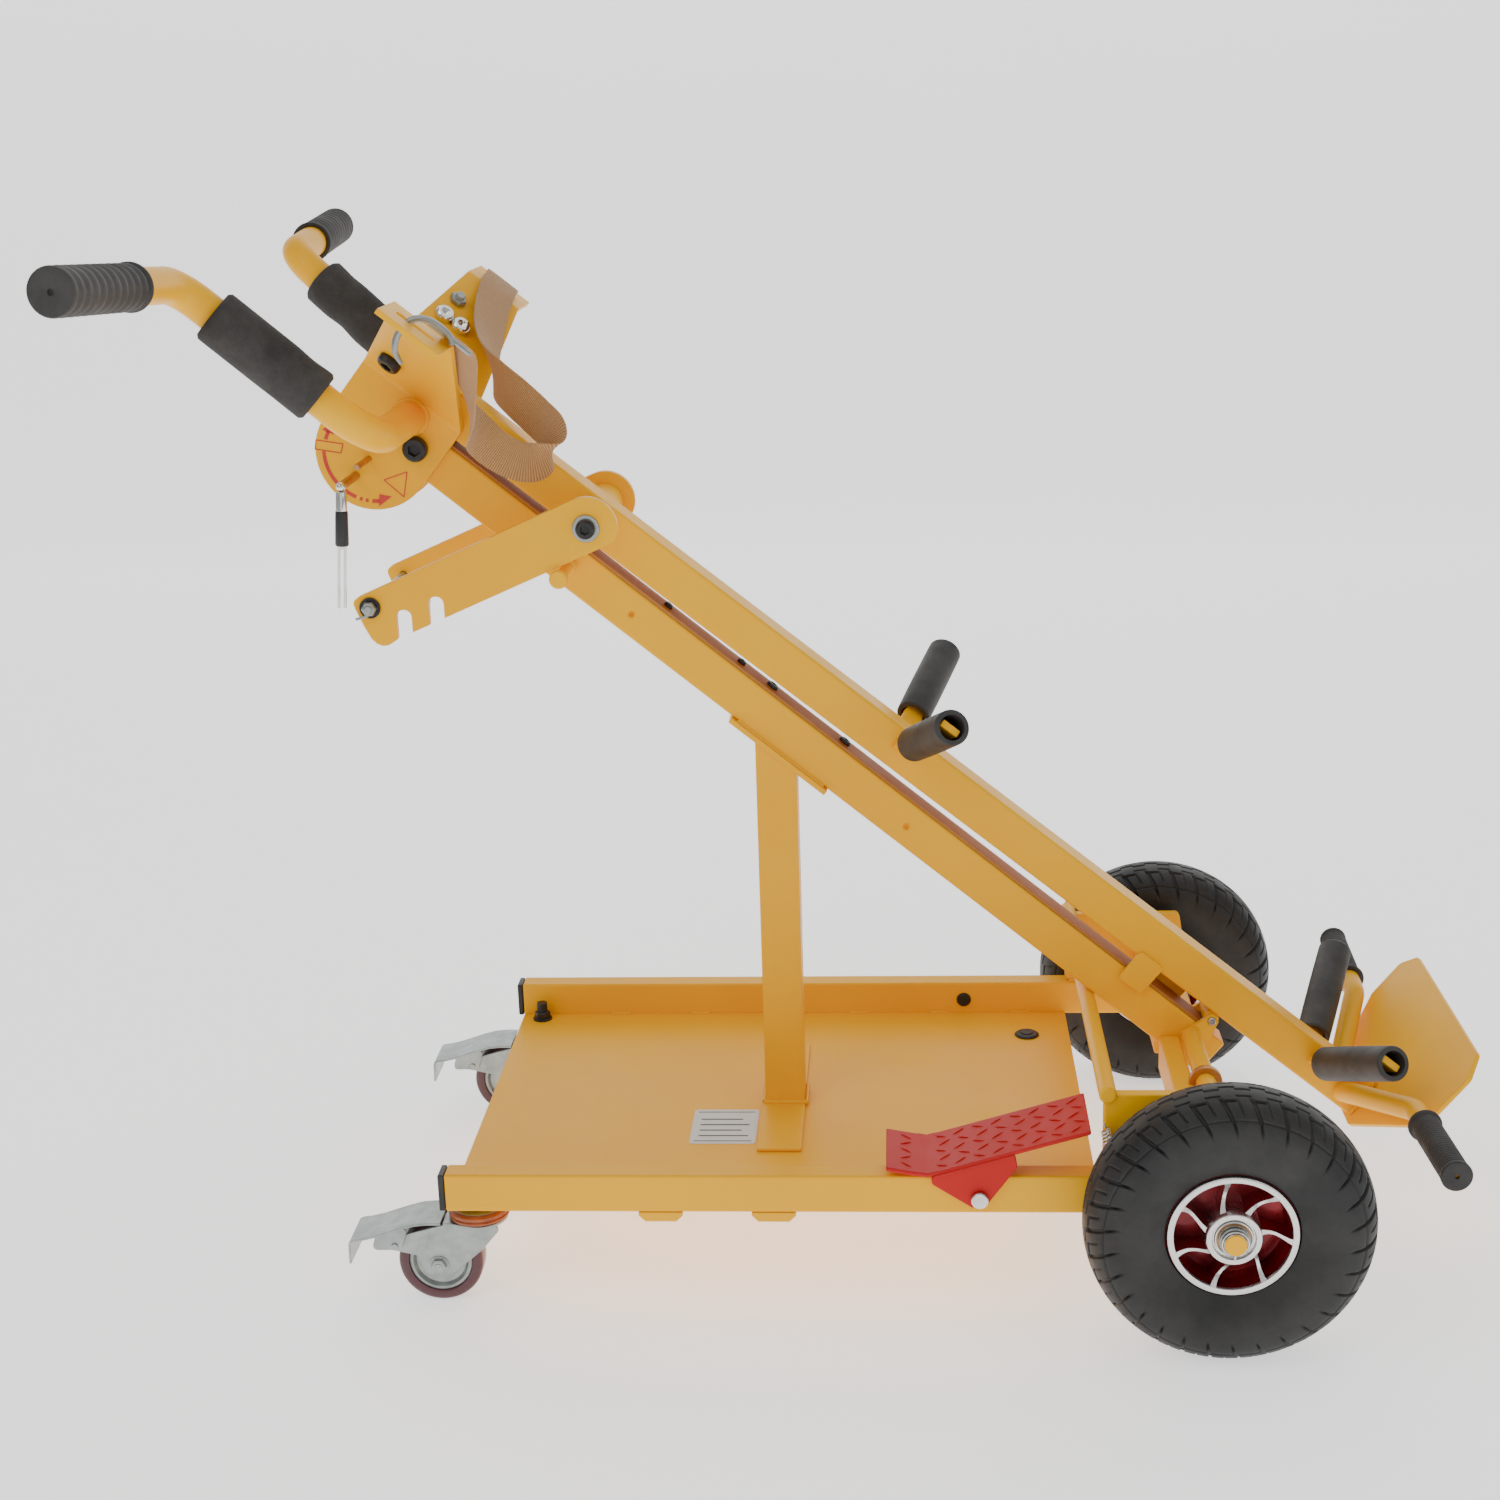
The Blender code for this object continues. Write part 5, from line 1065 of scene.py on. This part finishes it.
def strap():
    origin = beam(0, 0, 0)
    middles = smooth_path([beam(*point) for point, _ in BAND], 8)
    widths = smooth_path([beam(*width) - origin for _, width in BAND], 8)
    bm = bmesh.new()
    layer = bm.loops.layers.uv.new("UVMap")
    columns, travel, area, grid = 10, 0.0, 0.0, []
    for i, middle in enumerate(middles):
        ahead = (middles[min(i + 1, len(middles) - 1)] - middles[max(i - 1, 0)]).normalized()
        across = (widths[i] - ahead * widths[i].dot(ahead)).normalized()
        normal = ahead.cross(across).normalized()
        tail = len(middles) - TAIL
        taper = 1.0 if i < tail else 1.0 - NARROWING * min(1.0, (i - tail) / 10)
        if i:
            step = (middle - middles[i - 1]).length
            travel += step
            area += step * STRAP_W * taper
        row = []
        for face in (-1, 1):
            for k in range(columns + 1):
                w = (k / columns - 0.5) * STRAP_W * taper
                edge = 1.0 - 0.35 * (abs(k / columns - 0.5) * 2) ** 8
                row.append((bm.verts.new(middle + across * w + normal * face * STRAP_T / 2 * edge), travel, w))
        grid.append(row)

    def face(points):
        made = bm.faces.new([vert for vert, _, _ in points])
        for loop, (_, s, w) in zip(made.loops, points):
            loop[layer].uv = (s, w)

    n = columns + 1
    for one, two in zip(grid, grid[1:]):
        for k in range(columns):
            face((one[k], two[k], two[k + 1], one[k + 1]))
            face((one[n + k], one[n + k + 1], two[n + k + 1], two[n + k]))
        face((one[0], one[n], two[n], two[0]))
        face((one[columns], two[columns], two[n + columns], one[n + columns]))
    for row in (grid[0], grid[-1]):
        for k in range(columns):
            face((row[k], row[k + 1], row[n + k + 1], row[n + k]))
    band = piece("strap_band", bm, WEAVE, "cradle", "strap", angle=60)
    wire = [(0.955, 0.115), (0.96, 0.1185), (0.968, 0.1205), (0.978, 0.1205), (0.987, 0.1175), (0.994, 0.111),
        (0.9965, 0.1), (0.9955, 0.09), (0.99, 0.081), (0.98, 0.076)]
    path = smooth_path([beam(u, v, -0.204) for u, v in wire], 5)
    radii = [0.003 if i < len(path) - 6 else 0.003 - 0.0002 * (i - len(path) + 7) for i in range(len(path))]
    loop = smooth_path([beam(0.94, 0.1168, -0.202), beam(0.942, 0.1175, -0.203), beam(0.96, 0.118, -0.2035),
        beam(0.98, 0.1175, -0.202)], 5)
    piece("hook_fine", [sweep(path, radii, 20), sweep(loop, 0.002, 16)], ZINC, "cradle", "strap_hook")


# ------------------------------------------------------------------ prop and lever
def notch(a, b, half, bottom):
    down = Vector((sin(PROP_PITCH), -cos(PROP_PITCH)))
    level = Vector((cos(PROP_PITCH), sin(PROP_PITCH)))
    arc = [Vector((a, b)) - half * cos(radians(t)) * level - half * sin(radians(t)) * down for t in range(0, 181, 10)]
    first, last = arc[0], arc[-1]
    return [tuple(p)
        for p in [first + down * ((first.y - bottom) / -down.y)] + arc + [last + down * ((last.y - bottom) / -down.y)]]


def prop_parts():
    top, bottom = 0.0285, -0.022
    outline = [(0.0285 * cos(radians(t)), 0.0285 * sin(radians(t))) for t in range(90, 231, 7)]
    outline += [(0.004, bottom)] + notch(0.158, -0.007, 0.0072, bottom) + notch(0.191, -0.006, 0.0072, bottom)
    outline += [(0.213, -0.0235), (0.217, -0.0236), (0.2215, -0.022), (0.2255, -0.018), (0.228, -0.012), (0.229, 0.0),
        (0.229, 0.02), (0.2285, 0.024), (0.2265, 0.027), (0.221, top)]
    points = [prop(a, b, 0) for a, b in outline]
    rod_at = prop(0.2155, 0.015, 0)
    for tag, side in SIDES:
        low, high = sorted((side * 0.068, side * 0.076))
        bar = piece("prop_bar_fine_" + tag, prism([(p.x, p.z) for p in points], low, high), YELLOW, "prop",
            "prop_bar_" + tag)
        cut_out(bar, [rod((at.x, side * 0.06, at.z), (at.x, side * 0.09, at.z), radius, 32) for at,
            radius in ((PROP_AT, 0.0063), (rod_at, 0.0044))])
        ease(bar, 0.001)
        washer = spindle([(0.006, 0.0), (0.006, 0.967), (0.0125, 0.967), (0.0125, 0.99), (0.012, 1.0)],
            (PROP_AT.x, side * 0.0186, PROP_AT.z), (PROP_AT.x, side * 0.0785, PROP_AT.z), 48)
        piece("prop_bolt_fine_" + tag, washer, ZINC, "cradle", "prop_bolt_" + tag, bevel=0.0002)
        piece("prop_bolt_head_" + tag, socket_bolt((PROP_AT.x, side * 0.0786, PROP_AT.z), (0, side, 0), 0.009,
            0.0063), DARK, "cradle")
    x, z = rod_at.x, rod_at.z
    parts = [spindle([(0.0032, 0.0), (0.0041, 0.008), (0.0041, 0.992), (0.0032, 1.0)], (x, -0.0868, z),
        (x, 0.0868, z), 32)]
    for side in (-1, 1):
        parts.append(spindle([(0.0072, 0.0), (0.0072, 0.72), (0.0058, 1.0)], (x, side * 0.0786, z),
            (x, side * 0.085, z), 6))
    piece("cross_rod_fine", parts, ZINC, "prop", "prop_cross_rod", bevel=0.0003)
    for tag, side in SIDES:
        piece("cross_washer_" + tag, lathe([(0.0042, 0), (0.0098, 0.0), (0.0098, 1.0), (0.0042, 1.0)],
            (x, side * 0.0763, z), (x, side * 0.0785, z), 40), DARK, "prop", bevel=0.0003)
    tail = [(x - 0.001, -0.0815, z - 0.006), (x - 0.006, -0.0818, z - 0.0078), (x - 0.013, -0.0816, z - 0.0096)]
    piece("tail_pin", sweep(tail, [0.0016, 0.0015, 0.0012], 16), ZINC, "prop")


def lever():
    lean = -0.066

    def down(distance, dx=0.0):
        return Vector((LEVER_AT.x + lean * distance + dx, -0.08, LEVER_AT.z - distance))

    ball = []
    for k in range(13):
        turn = pi * k / 12
        ball.append((max(0.0002, 0.0046 * sin(turn)), 0.5 - 0.5 * cos(turn)))
    parts = [spindle([(0.0041, 0.0), (0.0041, 0.97), (0.0034, 1.0)], (LEVER_AT.x, -(CHEEK_OUT + GAP), LEVER_AT.z),
        (LEVER_AT.x, -0.08, LEVER_AT.z), 36)]
    piece("lever_shaft", parts, BRONZE, "lever", "release_lever")
    rods = [spindle(ball, down(-0.004), down(0.0052), 28), rod(down(0.0), down(0.0585), 0.0017, 20),
        sweep(smooth_path([down(0.0552, -0.0028), down(0.08, -0.0033), down(0.113, -0.0038)]), 0.0014, 16),
        sweep(smooth_path([down(0.0552, 0.0028), down(0.08, 0.0024), down(0.113, 0.0018)]), 0.0014, 16)]
    piece("lever_rods", rods, CHROME, "lever")
    profile = [(0.0022, 0.0), (0.0046, 0.0), (0.0052, 0.04), (0.0054, 0.35), (0.0022, 0.36)]
    piece("lever_collar", lathe(profile, down(0.005), down(0.0548), 40), CHROME, "lever", "release_grip")
    profile = [(0.0022, 0.36), (0.0055, 0.36), (0.0058, 0.38), (0.0063, 0.97), (0.0058, 1.0), (0.0022, 1.0)]
    piece("lever_handle", lathe(profile, down(0.005), down(0.0548), 40), PLASTIC, "lever")


# ------------------------------------------------------------------ camera, floor and light
LIGHTS = [  # name, place, aim, side in metres, watts
    ("key", (-1.9, -2.2, 3.2), (0, 0, 0.4), 2.2, 34.0),
    ("fill", (2.8, -2.4, 1.9), (0, 0, 0.4), 2.4, 17.0),
    ("top", (0.2, 0.6, 3.6), (0, 0, 0.3), 3.0, 24.0),
    ("front", (0.0, -3.4, 0.9), (0, 0, 0.3), 2.0, 7.0),
]
WORLD_STRENGTH, FLOOR_GLOW = 0.42, 0.95
CAMERA_AT, CAMERA_LENS = (0.0493, -2.0393, 1.0771), 52.88
CAMERA_YAW, CAMERA_PITCH, CAMERA_ROLL = -0.07041, 0.28608, -0.03132


def studio():
    yaw, pitch, roll = CAMERA_YAW, CAMERA_PITCH, CAMERA_ROLL
    ahead = Vector((sin(yaw) * cos(pitch), cos(yaw) * cos(pitch), -sin(pitch)))
    right = Vector((cos(yaw), -sin(yaw), 0))
    up = right.cross(ahead)
    r, u = cos(roll) * right + sin(roll) * up, -sin(roll) * right + cos(roll) * up
    data = bpy.data.cameras.new("camera")
    data.lens, data.sensor_width, data.sensor_height, data.sensor_fit = CAMERA_LENS, 36.0, 36.0, 'HORIZONTAL'
    camera = placed("camera", data)
    camera.matrix_world = Matrix([(r[k], u[k], -ahead[k], CAMERA_AT[k]) for k in range(3)] + [(0, 0, 0, 1)])
    bpy.context.scene.camera = camera

    n = Nodes("studio_floor")
    n.set(Base_Color=n.mix(n.noise(2.0, 3), (0.9, 0.9, 0.9), (0.93, 0.93, 0.93)), Roughness=0.75,
        Specular_IOR_Level=0.2, Emission_Color=(1.0, 1.0, 1.0), Emission_Strength=FLOOR_GLOW)
    bm = bmesh.new()
    rings = []
    for x in (-7.0, 7.0):
        line = [(x, -4.0, 0.0), (x, 3.2, 0.0)] + [(x, 3.2 + 1.6 * sin(radians(a)), 1.6 - 1.6 * cos(radians(a)))
            for a in range(6, 91, 6)]
        line.append((x, 4.8, 6.0))
        rings.append([bm.verts.new(p) for p in line])
    for i in range(len(rings[0]) - 1):
        bm.faces.new((rings[0][i], rings[1][i], rings[1][i + 1], rings[0][i + 1]))
    data = bpy.data.meshes.new("studio_sweep")
    bm.to_mesh(data)
    bm.free()
    data.shade_smooth()
    data.materials.append(n.mat)
    floor = placed("studio_sweep", data)

    for name, place, aim, size, power in LIGHTS:
        light = bpy.data.lights.new(name, 'AREA')
        light.shape, light.size, light.energy = 'SQUARE', size, power
        obj = placed(name, light)
        obj.location = place
        obj.rotation_euler = (Vector(aim) - Vector(place)).to_track_quat('-Z', 'Y').to_euler()
    world = bpy.data.worlds.new("studio")
    world.use_nodes = True
    world.node_tree.nodes["Background"].inputs["Color"].default_value = (1.0, 1.0, 1.0, 1.0)
    world.node_tree.nodes["Background"].inputs["Strength"].default_value = WORLD_STRENGTH
    bpy.context.scene.world = world


chassis()
mast_parts()
front_parts()
for wheel_tag, wheel_side in SIDES:
    tyre(wheel_tag, wheel_side)
    rim(wheel_tag, wheel_side)
    caster(wheel_tag, wheel_side)
pedal()
cradle_parts()
head()
strap()
prop_parts()
lever()
studio()
